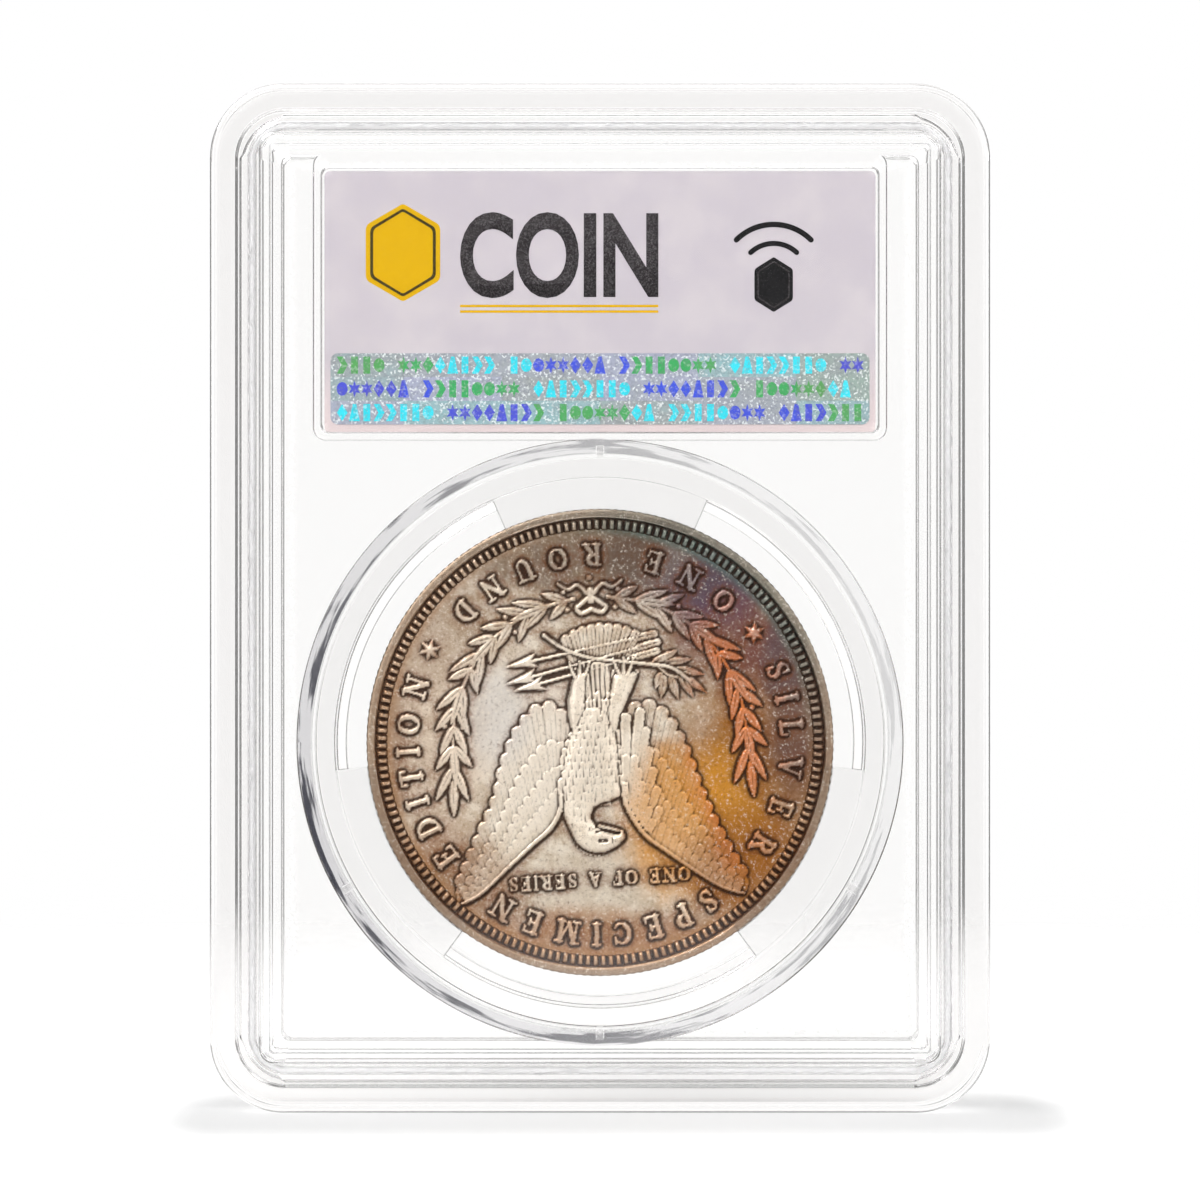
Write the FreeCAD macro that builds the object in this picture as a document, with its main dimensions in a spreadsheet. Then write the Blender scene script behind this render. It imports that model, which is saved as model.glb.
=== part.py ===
import FreeCAD, Part
import math
import os
import Sketcher

# A sealed display slab for one large silver coin. It stands on its bottom edge:
# X is its width, Z its height and Y its thickness. The back of the slab, which
# shows the coin's reverse, faces -Y. Millimetres throughout.

doc = FreeCAD.newDocument("coin_slab")
sizes = doc.addObject("Spreadsheet::Sheet", "Sizes")

DIMENSIONS = {
    # outside of the two shells
    "slab_width": 63.3,
    "slab_height": 83.5,
    "slab_depth": 8.0,
    "corner_radius": 6.0,
    "edge_rounding": 0.6,
    "parting_gap": 0.06,
    # how far a feature runs into the wall that it joins
    "join_overlap": 0.2,
    # three steps lead from the raised stacking rim down to the window
    "rim_step_inset": 2.1,
    "rim_step_drop": 0.55,
    "rim_step_radius": 4.1,
    "middle_step_inset": 4.0,
    "middle_step_drop": 0.3,
    "middle_step_radius": 1.2,
    "window_inset": 4.8,
    "window_drop": 0.25,
    "window_radius": 0.35,
    "step_draft": 18.0,
    # hollow between the windows
    "cavity_inset": 5.7,
    "cavity_radius": 0.75,
    "cavity_depth": 1.75,
    # welded seam: a tongue of the front shell in a groove of the back shell
    "seam_inset": 2.95,
    "seam_width": 0.7,
    "seam_depth": 1.2,
    "seam_clearance": 0.05,
    # round well that holds the ring
    "coin_height": 30.0,
    "well_outer_radius": 24.7,
    "well_inner_radius": 23.5,
    "key_slot_width": 0.7,
    "slot_clearance": 0.1,
    # pocket that holds the printed labels
    "pocket_width": 46.7,
    "pocket_bottom": 54.6,
    "pocket_wall": 0.6,
    "pocket_radius": 1.0,
    "pocket_floor": 0.45,
    "bed_headroom": 0.3,
    "bed_radius": 0.5,
    # moulding marks
    "pin_mark_radius": 1.15,
    "pin_mark_depth": 0.08,
    "pin_mark_side": 22.0,
    "pin_mark_height": 9.7,
    "gate_mark_width": 1.2,
    "gate_mark_height": 0.8,
    "gate_mark_side": 29.3,
    "gate_mark_level": 12.4,
    "gate_mark_depth": 0.2,
    # ring that grips the coin
    "ring_radius": 23.2,
    "ring_wall_radius": 21.6,
    "ring_window_radius": 20.65,
    "ring_depth": 3.4,
    "ring_ledge_depth": 2.2,
    "prong_count": 3,
    "prong_angle": 48.0,
    "prong_reach": 18.35,
    "prong_depth": 3.3,
    "key_width": 0.5,
    "key_reach": 24.1,
    "key_depth": 2.4,
    "coin_clearance": 0.03,
    # the coin
    "coin_radius": 19.05,
    "coin_depth": 2.4,
    "coin_rim_radius": 18.25,
    "coin_field_sink": 0.18,
    "rim_slope_width": 0.25,
    "reed_count": 180,
    "reed_cut": 0.12,
    # printed labels, strip and radio tag
    "label_width": 44.9,
    "label_bottom": 55.25,
    "label_height": 21.3,
    "label_radius": 0.4,
    "label_thickness": 0.25,
    "strip_width": 43.9,
    "strip_height": 5.8,
    "strip_bottom": 55.9,
    "strip_radius": 0.6,
    "strip_thickness": 0.05,
    "tag_width": 18.0,
    "tag_height": 15.0,
    "tag_left": 3.4,
    "tag_bottom": 59.5,
    "tag_radius": 0.8,
    "tag_thickness": 0.08,
    "trace_width": 0.5,
    "trace_pitch": 0.95,
    "trace_margin": 0.8,
    "trace_laps": 4,
    "trace_thickness": 0.04,
    "chip_width": 1.6,
    "chip_height": 1.2,
    "chip_bottom": 66.4,
    "chip_thickness": 0.15,
}

for row, (alias, value) in enumerate(DIMENSIONS.items(), start=1):
    sizes.set(f"A{row}", alias)
    sizes.set(f"B{row}", str(value))
    sizes.setAlias(f"B{row}", alias)
doc.recompute()

HALF_WIDTH = "Sizes.slab_width / 2"
BACK, FRONT = "back", "front"


def size(alias):
    return float(getattr(sizes, alias))


def newBody(label):
    body = doc.addObject("PartDesign::Body", label)
    body.Label = label
    return body


def originFeature(body, role):
    return next(item for item in body.Origin.OriginFeatures if item.Role == role)


def newSketch(body, name, role="XZ_Plane", offset=None):
    sketch = body.newObject("Sketcher::SketchObject", name)
    sketch.AttachmentSupport = (originFeature(body, role), [""])
    sketch.MapMode = "FlatFace"
    if offset:
        sketch.setExpression("AttachmentOffset.Base.z", offset)
    return sketch


def bindDistance(sketch, kind, name, first, second, expression):
    # signed distance between two points, tied to a formula on the sheet
    value = float(sketch.evalExpression(expression))
    index = sketch.addConstraint(Sketcher.Constraint(kind, *first, *second, value))
    sketch.renameConstraint(index, name)
    sketch.setExpression(f"Constraints.{name}", expression)


def bindRadius(sketch, name, curve, expression):
    value = float(sketch.evalExpression(expression))
    index = sketch.addConstraint(Sketcher.Constraint("Radius", curve, value))
    sketch.renameConstraint(index, name)
    sketch.setExpression(f"Constraints.{name}", expression)


def roundedRectangle(sketch, tag, left, right, low, high, radius):
    # the five formulas give the four sides and the corner radius
    x0, x1, z0, z1, r = (float(sketch.evalExpression(text))
                         for text in (left, right, low, high, radius))
    point = FreeCAD.Vector
    sides = [(point(x0 + r, z0), point(x1 - r, z0)), (point(x1, z0 + r), point(x1, z1 - r)),
             (point(x1 - r, z1), point(x0 + r, z1)), (point(x0, z1 - r), point(x0, z0 + r))]
    centres = [point(x1 - r, z0 + r), point(x1 - r, z1 - r),
               point(x0 + r, z1 - r), point(x0 + r, z0 + r)]
    lines = [sketch.addGeometry(Part.LineSegment(*side)) for side in sides]
    arcs = []
    for number, centre in enumerate(centres):
        start = (number - 1) * math.pi / 2
        circle = Part.Circle(centre, FreeCAD.Vector(0, 0, 1), r)
        arcs.append(sketch.addGeometry(Part.ArcOfCircle(circle, start, start + math.pi / 2)))
    for number in range(4):
        sketch.addConstraint(Sketcher.Constraint("Tangent", lines[number], 2, arcs[number], 1))
        sketch.addConstraint(
            Sketcher.Constraint("Tangent", arcs[number], 2, lines[(number + 1) % 4], 1))
        sketch.addConstraint(
            Sketcher.Constraint(("Horizontal", "Vertical")[number % 2], lines[number]))
        if number:
            sketch.addConstraint(Sketcher.Constraint("Equal", arcs[0], arcs[number]))
    bindRadius(sketch, f"{tag}_radius", arcs[0], radius)
    origin = (-1, 1)
    bindDistance(sketch, "DistanceX", f"{tag}_left", origin, (lines[3], 1), left)
    bindDistance(sketch, "DistanceX", f"{tag}_right", origin, (lines[1], 1), right)
    bindDistance(sketch, "DistanceY", f"{tag}_low", origin, (lines[0], 1), low)
    bindDistance(sketch, "DistanceY", f"{tag}_high", origin, (lines[2], 1), high)


def insetRectangle(sketch, tag, inset, radius):
    # a rounded rectangle at one distance inside the slab's outline
    roundedRectangle(sketch, tag, f"-({HALF_WIDTH}) + {inset}", f"{HALF_WIDTH} - {inset}",
                     inset, f"Sizes.slab_height - {inset}", radius)


def circleAt(sketch, tag, across, height, radius):
    x, z, r = (float(sketch.evalExpression(text)) for text in (across, height, radius))
    circle = sketch.addGeometry(
        Part.Circle(FreeCAD.Vector(x, z, 0), FreeCAD.Vector(0, 0, 1), r))
    bindRadius(sketch, f"{tag}_radius", circle, radius)
    bindDistance(sketch, "DistanceX", f"{tag}_across", (-1, 1), (circle, 3), across)
    bindDistance(sketch, "DistanceY", f"{tag}_height", (-1, 1), (circle, 3), height)


def polygon(sketch, tag, corners):
    # each corner is a pair of formulas, and each is tied to the sketch's origin
    points = [FreeCAD.Vector(float(sketch.evalExpression(x)), float(sketch.evalExpression(y)), 0)
              for x, y in corners]
    count = len(points)
    lines = [sketch.addGeometry(Part.LineSegment(points[n], points[(n + 1) % count]))
             for n in range(count)]
    for n in range(count):
        sketch.addConstraint(Sketcher.Constraint("Coincident", lines[n], 2,
                                                 lines[(n + 1) % count], 1))
        bindDistance(sketch, "DistanceX", f"{tag}_across_{n}", (-1, 1), (lines[n], 1), corners[n][0])
        bindDistance(sketch, "DistanceY", f"{tag}_up_{n}", (-1, 1), (lines[n], 1), corners[n][1])


def annularSector(sketch, tag, inner, outer, middle, spread):
    # a slice of a flat ring about the sketch's origin, angles in degrees
    radii = [float(sketch.evalExpression(text)) for text in (inner, outer)]
    first = math.radians(middle - spread / 2)
    last = math.radians(middle + spread / 2)
    arcs = []
    for radius in radii:
        circle = Part.Circle(FreeCAD.Vector(0, 0, 0), FreeCAD.Vector(0, 0, 1), radius)
        arcs.append(sketch.addGeometry(Part.ArcOfCircle(circle, first, last)))
    inside, outside = arcs
    ends = []
    for angle in (first, last):
        near, far = (FreeCAD.Vector(math.cos(angle), math.sin(angle), 0) * radius
                     for radius in radii)
        ends.append(sketch.addGeometry(Part.LineSegment(near, far)))
    for side, line in enumerate(ends, start=1):
        sketch.addConstraint(Sketcher.Constraint("Coincident", line, 1, inside, side))
        sketch.addConstraint(Sketcher.Constraint("Coincident", line, 2, outside, side))
        index = sketch.addConstraint(
            Sketcher.Constraint("Angle", -1, 1, line, 1, (first, last)[side - 1]))
        sketch.renameConstraint(index, f"{tag}_end_{side}")
    for name, arc, text in (("inner", inside, inner), ("outer", outside, outer)):
        sketch.addConstraint(Sketcher.Constraint("Coincident", arc, 3, -1, 1))
        bindRadius(sketch, f"{tag}_{name}", arc, text)


def setTip(body, feature, grows):
    # a cut that misses the solid leaves its volume as it was, so compare the two
    before = body.Shape.Volume if body.Tip and not body.Shape.isNull() else 0.0
    body.Tip = feature
    doc.recompute()
    change = body.Shape.Volume - before
    if abs(change) < 1e-6 or (change > 0) != grows:
        raise RuntimeError(f"{feature.Name} changed the volume by {change:.4f}")


def pad(body, name, sketch, length, reverse=False, middle=False):
    feature = body.newObject("PartDesign::Pad", name)
    feature.Profile = sketch
    feature.setExpression("Length", length)
    feature.Reversed = reverse
    feature.Midplane = middle
    setTip(body, feature, grows=True)
    return feature


def pocket(body, name, sketch, length, reverse=False, middle=False, taper=None):
    feature = body.newObject("PartDesign::Pocket", name)
    feature.Profile = sketch
    feature.setExpression("Length", length)
    feature.Reversed = reverse
    feature.Midplane = middle
    if taper:
        feature.setExpression("TaperAngle", taper)
    setTip(body, feature, grows=False)
    return feature


def turn(body, kind, name, sketch, grows):
    feature = body.newObject(f"PartDesign::{kind}", name)
    feature.Profile = sketch
    feature.ReferenceAxis = (sketch, ["V_Axis"])
    feature.Angle = 360.0
    setTip(body, feature, grows)
    return feature


def aroundAxis(body, name, features, count, grows):
    pattern = body.newObject("PartDesign::PolarPattern", name)
    pattern.Originals = features
    pattern.Axis = (originFeature(body, "Y_Axis"), [""])
    pattern.Angle = 360.0
    pattern.setExpression("Occurrences", count)
    setTip(body, pattern, grows)
    return pattern


def edgesInPlane(shape, depth):
    # names of the edges that lie wholly at one distance along the thickness
    return [f"Edge{number}" for number, edge in enumerate(shape.Edges, start=1)
            if abs(edge.BoundBox.YMin - depth) < 1e-5 and abs(edge.BoundBox.YMax - depth) < 1e-5]


def shell(label, side):
    # Sketches on the XZ plane look along -Y, so an offset is positive at the back.
    back = side == BACK
    sign = "" if back else "-"
    body = newBody(label)

    outline = newSketch(body, f"{label}_outline", offset=f"{sign}Sizes.parting_gap / 2")
    insetRectangle(outline, "outline", "0", "Sizes.corner_radius")
    block = pad(body, f"{label}_block", outline,
                "(Sizes.slab_depth - Sizes.parting_gap) / 2", reverse=not back)
    rounding = body.newObject("PartDesign::Fillet", f"{label}_rounding")
    face_depth = (-1 if back else 1) * size("slab_depth") / 2
    rounding.Base = (block, edgesInPlane(block.Shape, face_depth))
    rounding.setExpression("Radius", "Sizes.edge_rounding")
    setTip(body, rounding, grows=False)

    # rim, middle step and window, each sunk below the one before
    drop = "0"
    for step in ("rim_step", "middle_step", "window"):
        sketch = newSketch(body, f"{label}_{step}",
                           offset=f"{sign}(Sizes.slab_depth / 2 - ({drop}))")
        insetRectangle(sketch, step, f"Sizes.{step}_inset", f"Sizes.{step}_radius")
        pocket(body, f"{label}_{step}_cut", sketch, f"Sizes.{step}_drop",
               reverse=not back, taper="-Sizes.step_draft")
        drop = f"{drop} + Sizes.{step}_drop"

    hollow = newSketch(body, f"{label}_hollow", offset=f"{sign}Sizes.parting_gap / 2")
    insetRectangle(hollow, "hollow", "Sizes.cavity_inset", "Sizes.cavity_radius")
    pocket(body, f"{label}_hollow_cut", hollow,
           "Sizes.cavity_depth - Sizes.parting_gap / 2", reverse=back)

    # the well's wall and the label platform rise from the window's inner face
    floor = f"{sign}(Sizes.cavity_depth)"
    well = newSketch(body, f"{label}_well", offset=floor)
    circleAt(well, "outer", "0", "Sizes.coin_height", "Sizes.well_outer_radius")
    circleAt(well, "inner", "0", "Sizes.coin_height", "Sizes.well_inner_radius")
    pad(body, f"{label}_well_wall", well,
        "Sizes.cavity_depth - Sizes.parting_gap / 2", reverse=back)

    platform = newSketch(body, f"{label}_platform", offset=floor)
    pocket_sides = ("-Sizes.pocket_width / 2", "Sizes.pocket_width / 2", "Sizes.pocket_bottom",
                    "Sizes.slab_height - Sizes.cavity_inset + Sizes.join_overlap")
    roundedRectangle(platform, "platform", *pocket_sides, "Sizes.pocket_radius")
    pad(body, f"{label}_platform_block", platform,
        "Sizes.cavity_depth - Sizes.parting_gap / 2", reverse=back)
    bed = newSketch(body, f"{label}_bed", offset=f"{sign}Sizes.parting_gap / 2")
    roundedRectangle(bed, "bed", "-Sizes.pocket_width / 2 + Sizes.pocket_wall",
                     "Sizes.pocket_width / 2 - Sizes.pocket_wall",
                     "Sizes.pocket_bottom + Sizes.pocket_wall",
                     "Sizes.slab_height - Sizes.cavity_inset - Sizes.pocket_wall - Sizes.bed_headroom",
                     "Sizes.bed_radius")
    pocket(body, f"{label}_bed_cut", bed,
           "Sizes.pocket_floor - Sizes.parting_gap / 2", reverse=back)

    # slots in the well's wall take the ring's keys
    slot_angles = (90, 210, 330, 270)
    for number, angle in enumerate(slot_angles, start=1):
        slot = newSketch(body, f"{label}_slot_{number}", offset=f"{sign}Sizes.parting_gap / 2")
        radialSlot(slot, angle)
        pocket(body, f"{label}_slot_cut_{number}", slot,
               "Sizes.key_depth / 2 + Sizes.slot_clearance", reverse=back)

    # shallow discs left by the ejector pins, one in each lower corner
    pins = newSketch(body, f"{label}_pins", offset=floor)
    for number, across in enumerate(("-", ""), start=1):
        circleAt(pins, f"pin_{number}", f"{across}Sizes.pin_mark_side",
                 "Sizes.pin_mark_height", "Sizes.pin_mark_radius")
    pocket(body, f"{label}_pin_marks", pins, "Sizes.pin_mark_depth", reverse=back)

    if back:
        gate = newSketch(body, f"{label}_gate", offset="Sizes.slab_depth / 2")
        roundedRectangle(gate, "gate", "Sizes.gate_mark_side",
                         "Sizes.gate_mark_side + Sizes.gate_mark_width", "Sizes.gate_mark_level",
                         "Sizes.gate_mark_level + Sizes.gate_mark_height", "0.15")
        pocket(body, f"{label}_gate_mark", gate, "Sizes.gate_mark_depth")

    seam = newSketch(body, f"{label}_seam", offset=f"{sign}Sizes.parting_gap / 2")
    if back:
        insetRectangle(seam, "outer", "Sizes.seam_inset", "Sizes.corner_radius - Sizes.seam_inset")
        insetRectangle(seam, "inner", "(Sizes.seam_inset + Sizes.seam_width)",
                       "Sizes.corner_radius - Sizes.seam_inset - Sizes.seam_width")
        pocket(body, f"{label}_groove", seam, "Sizes.seam_depth", reverse=True)
    else:
        insetRectangle(seam, "outer", "(Sizes.seam_inset + Sizes.seam_clearance)",
                       "Sizes.corner_radius - Sizes.seam_inset - Sizes.seam_clearance")
        insetRectangle(seam, "inner",
                       "(Sizes.seam_inset + Sizes.seam_width - Sizes.seam_clearance)",
                       "Sizes.corner_radius - Sizes.seam_inset - Sizes.seam_width"
                       " + Sizes.seam_clearance")
        pad(body, f"{label}_tongue", seam,
            "Sizes.parting_gap + Sizes.seam_depth - Sizes.seam_clearance")
    return body


def radialSlot(sketch, angle):
    # a narrow rectangle through the well's wall, at one angle about the coin's axis
    across = FreeCAD.Vector(math.cos(math.radians(angle)), math.sin(math.radians(angle)), 0)
    beside = FreeCAD.Vector(-across.y, across.x, 0)
    centre = FreeCAD.Vector(0, size("coin_height"), 0)
    half = size("key_slot_width") / 2
    near = size("well_inner_radius") - size("join_overlap")
    far = size("key_reach") + size("slot_clearance")
    corners = [centre + across * reach + beside * shift
               for reach, shift in ((near, -half), (far, -half), (far, half), (near, half))]
    lines = [sketch.addGeometry(Part.LineSegment(corners[n], corners[(n + 1) % 4]))
             for n in range(4)]
    for n in range(4):
        sketch.addConstraint(Sketcher.Constraint("Coincident", lines[n], 2, lines[(n + 1) % 4], 1))
        sketch.addConstraint(Sketcher.Constraint("Block", lines[n]))


def coinRing():
    # an open ring whose three prongs reach in over both faces of the coin's rim
    body = newBody("coin_ring")
    body.setExpression("Placement.Base.z", "Sizes.coin_height")
    wall = newSketch(body, "ring_section", role="XY_Plane")
    polygon(wall, "wall", [
        ("Sizes.ring_window_radius", "-Sizes.ring_ledge_depth / 2"),
        ("Sizes.ring_wall_radius", "-Sizes.ring_ledge_depth / 2"),
        ("Sizes.ring_wall_radius", "-Sizes.ring_depth / 2"),
        ("Sizes.ring_radius", "-Sizes.ring_depth / 2"),
        ("Sizes.ring_radius", "Sizes.ring_depth / 2"),
        ("Sizes.ring_wall_radius", "Sizes.ring_depth / 2"),
        ("Sizes.ring_wall_radius", "Sizes.ring_ledge_depth / 2"),
        ("Sizes.ring_window_radius", "Sizes.ring_ledge_depth / 2")])
    turn(body, "Revolution", "ring_wall", wall, grows=True)

    prong = newSketch(body, "prong_sketch")
    annularSector(prong, "prong", "Sizes.prong_reach", "Sizes.ring_wall_radius + Sizes.join_overlap", 90,
                  size("prong_angle"))
    block = pad(body, "prong", prong, "Sizes.prong_depth", middle=True)
    aroundAxis(body, "prongs", [block], "Sizes.prong_count", grows=True)

    seat = newSketch(body, "seat_section", role="XY_Plane")
    polygon(seat, "seat", [
        ("Sizes.prong_reach - 1", "-Sizes.coin_depth / 2 - Sizes.coin_clearance"),
        ("Sizes.coin_radius + Sizes.coin_clearance", "-Sizes.coin_depth / 2 - Sizes.coin_clearance"),
        ("Sizes.coin_radius + Sizes.coin_clearance", "Sizes.coin_depth / 2 + Sizes.coin_clearance"),
        ("Sizes.prong_reach - 1", "Sizes.coin_depth / 2 + Sizes.coin_clearance")])
    turn(body, "Groove", "coin_seat", seat, grows=False)

    # keys on the outside stop the ring from turning in its well
    for name, angle in (("key", 90.0), ("lower_key", 270.0)):
        key = newSketch(body, f"{name}_sketch")
        reach = math.copysign(1, math.sin(math.radians(angle)))
        root = "Sizes.ring_radius - 2 * Sizes.join_overlap"
        texts = (root, "Sizes.key_reach") if reach > 0 else ("-Sizes.key_reach", f"-({root})")
        roundedRectangle(key, name, "-Sizes.key_width / 2", "Sizes.key_width / 2",
                         *texts, "0.1")
        tab = pad(body, f"{name}_tab", key, "Sizes.key_depth", middle=True)
        if reach > 0:
            aroundAxis(body, "keys", [tab], "Sizes.prong_count", grows=True)
    return body


def reededCoin():
    # a struck disc: raised rim, sunken fields and reeds all round the edge
    body = newBody("coin_blank")
    body.setExpression("Placement.Base.z", "Sizes.coin_height")
    section = newSketch(body, "coin_section", role="XY_Plane")
    half = "Sizes.coin_depth / 2"
    sunk = f"{half} - Sizes.coin_field_sink"
    polygon(section, "coin", [
        ("0", f"-({sunk})"),
        ("Sizes.coin_rim_radius - Sizes.rim_slope_width", f"-({sunk})"),
        ("Sizes.coin_rim_radius", f"-({half})"),
        ("Sizes.coin_radius", f"-({half})"),
        ("Sizes.coin_radius", half),
        ("Sizes.coin_rim_radius", half),
        ("Sizes.coin_rim_radius - Sizes.rim_slope_width", sunk),
        ("0", sunk)])
    turn(body, "Revolution", "coin_disc", section, grows=True)

    # the reeds are an outline of small flats and notches, too many for a sketch
    count = int(size("reed_count"))
    outer = size("coin_radius")
    inner = outer - size("reed_cut")
    depth = size("coin_depth") + 1
    points = []
    for number in range(count):
        for share, radius in ((0.0, outer), (0.45, outer), (0.6, inner), (0.85, inner)):
            angle = 2 * math.pi * (number + share) / count
            points.append(FreeCAD.Vector(radius * math.cos(angle), -depth / 2,
                                         radius * math.sin(angle)))
    outline = Part.makePolygon(points + points[:1])
    prism = Part.Face(outline).extrude(FreeCAD.Vector(0, depth, 0))
    reeds = doc.addObject("Part::Feature", "reeded_prism")
    reeds.Shape = prism
    reeds.Placement.Base = FreeCAD.Vector(0, 0, size("coin_height"))
    coin = doc.addObject("Part::Common", "coin")
    coin.Base = body
    coin.Tool = reeds
    return coin


def card(label, left, right, low, height, radius, near, thickness):
    # a flat rounded sheet: near is its -Y face, and it grows towards +Y
    body = newBody(label)
    body.setExpression("Placement.Base.y", near)
    outline = newSketch(body, f"{label}_outline")
    roundedRectangle(outline, "card", left, right, low, f"{low} + {height}", radius)
    pad(body, f"{label}_sheet", outline, thickness, reverse=True)
    return body


def antenna(near):
    # a flat square coil that winds inwards and ends at the chip, of even width
    pitch = size("trace_pitch")
    margin = size("trace_margin")
    left, low = size("tag_left") + margin, size("tag_bottom") + margin
    right = size("tag_left") + size("tag_width") - margin
    high = size("tag_bottom") + size("tag_height") - margin
    laps = int(size("trace_laps"))
    path = [(left, low + pitch)]
    for lap in range(laps):
        inset = lap * pitch
        path += [(left + inset, high - inset), (right - inset, high - inset),
                 (right - inset, low + inset), (left + inset + pitch, low + inset)]
    path.append((left + laps * pitch, size("chip_bottom")))

    normals = []
    for (x0, z0), (x1, z1) in zip(path, path[1:]):
        length = math.hypot(x1 - x0, z1 - z0)
        normals.append(((z0 - z1) / length, (x1 - x0) / length))
    half = size("trace_width") / 2
    sides = {1: [], -1: []}
    for number, (x, z) in enumerate(path):
        # at a square corner the two normals add up to the mitre
        beside = normals[max(number - 1, 0):number + 1]
        for side, points in sides.items():
            across, up = (side * half * sum(normal[axis] for normal in beside) for axis in (0, 1))
            points.append(FreeCAD.Vector(x + across, near, z + up))
    outline = sides[1] + sides[-1][::-1]
    trace = doc.addObject("Part::Feature", "tag_antenna")
    trace.Shape = Part.Face(Part.makePolygon(outline + outline[:1])).extrude(
        FreeCAD.Vector(0, size("trace_thickness"), 0))
    return trace


def labelStack():
    # from the back: strip, back label, radio tag with its trace and chip, front label
    half_label = "Sizes.label_width / 2"
    label = (f"-{half_label}", half_label, "Sizes.label_bottom", "Sizes.label_height",
             "Sizes.label_radius")
    back_face = "-Sizes.pocket_floor + Sizes.strip_thickness"
    film_face = f"{back_face} + Sizes.label_thickness"
    trace_face = f"{film_face} + Sizes.tag_thickness"
    front_face = f"{trace_face} + Sizes.chip_thickness"
    chip_left = "Sizes.tag_left + Sizes.trace_margin + Sizes.trace_laps * Sizes.trace_pitch"
    chip_side = f"{chip_left} - Sizes.chip_width / 2"
    pieces = [
        card("hologram_strip", "-Sizes.strip_width / 2", "Sizes.strip_width / 2",
             "Sizes.strip_bottom", "Sizes.strip_height", "Sizes.strip_radius",
             "-Sizes.pocket_floor", "Sizes.strip_thickness"),
        card("back_label", *label, back_face, "Sizes.label_thickness"),
        card("tag_film", "Sizes.tag_left", "Sizes.tag_left + Sizes.tag_width",
             "Sizes.tag_bottom", "Sizes.tag_height", "Sizes.tag_radius",
             film_face, "Sizes.tag_thickness"),
        card("tag_chip", chip_side, f"{chip_side} + Sizes.chip_width",
             "Sizes.chip_bottom", "Sizes.chip_height", "0.05",
             trace_face, "Sizes.chip_thickness"),
        card("front_label", *label, front_face, "Sizes.label_thickness"),
    ]
    near = -size("pocket_floor") + size("strip_thickness") + size("label_thickness")
    pieces.append(antenna(near + size("tag_thickness")))
    return pieces


def checkDocument(pieces):
    for item in doc.Objects:
        if {"Invalid", "Error"} & set(item.State):
            raise RuntimeError(f"{item.Name} did not build: {item.State}")
    for piece in pieces:
        if piece.Shape.isNull() or not piece.Shape.isValid() or len(piece.Shape.Solids) != 1:
            raise RuntimeError(f"{piece.Label} is not one sound solid")


subparts = [shell("back_shell", BACK), shell("front_shell", FRONT), coinRing(), reededCoin()]
subparts += labelStack()
doc.recompute()
checkDocument(subparts)

os.makedirs("parts", exist_ok=True)
for part in subparts:
    part.Shape.exportStep(os.path.join("parts", f"{part.Label}.step"))
    box = part.Shape.BoundBox
    print(f"{part.Label:16s} volume {part.Shape.Volume:10.2f}  "
          f"x {box.XMin:7.2f} {box.XMax:7.2f}  y {box.YMin:6.2f} {box.YMax:6.2f}  "
          f"z {box.ZMin:6.2f} {box.ZMax:6.2f}")
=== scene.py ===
import math
import bmesh
import bpy
import numpy as np
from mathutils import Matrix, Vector


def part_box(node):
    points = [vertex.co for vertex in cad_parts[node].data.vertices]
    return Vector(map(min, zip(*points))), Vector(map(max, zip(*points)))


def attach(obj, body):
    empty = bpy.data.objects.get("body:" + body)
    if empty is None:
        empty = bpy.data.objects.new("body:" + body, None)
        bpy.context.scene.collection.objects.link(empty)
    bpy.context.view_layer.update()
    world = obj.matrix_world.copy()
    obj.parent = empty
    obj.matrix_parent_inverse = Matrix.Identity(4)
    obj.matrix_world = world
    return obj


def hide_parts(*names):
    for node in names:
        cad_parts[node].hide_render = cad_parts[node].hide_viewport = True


# A sealed coin slab on a pale table: two welded clear shells, a clear ring with
# prongs, a toned silver coin, two printed labels, a foil strip and a radio tag.

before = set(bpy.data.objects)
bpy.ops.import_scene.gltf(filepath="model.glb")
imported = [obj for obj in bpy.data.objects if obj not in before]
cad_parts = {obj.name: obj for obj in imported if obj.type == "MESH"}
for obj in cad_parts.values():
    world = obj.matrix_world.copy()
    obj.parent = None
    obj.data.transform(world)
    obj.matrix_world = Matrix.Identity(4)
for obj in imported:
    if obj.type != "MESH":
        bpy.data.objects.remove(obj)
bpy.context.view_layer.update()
mm = 0.001
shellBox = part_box("back_shell")
slabHalfWidth = shellBox[1][0] / mm
slabHeight = shellBox[1][2] / mm
slabHalfDepth = -shellBox[0][1] / mm
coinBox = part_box("coin")
coinRadius = (coinBox[1][2] - coinBox[0][2]) / 2 / mm
coinHeight = (coinBox[1][2] + coinBox[0][2]) / 2 / mm
coinHalfDepth = coinBox[1][1] / mm


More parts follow.
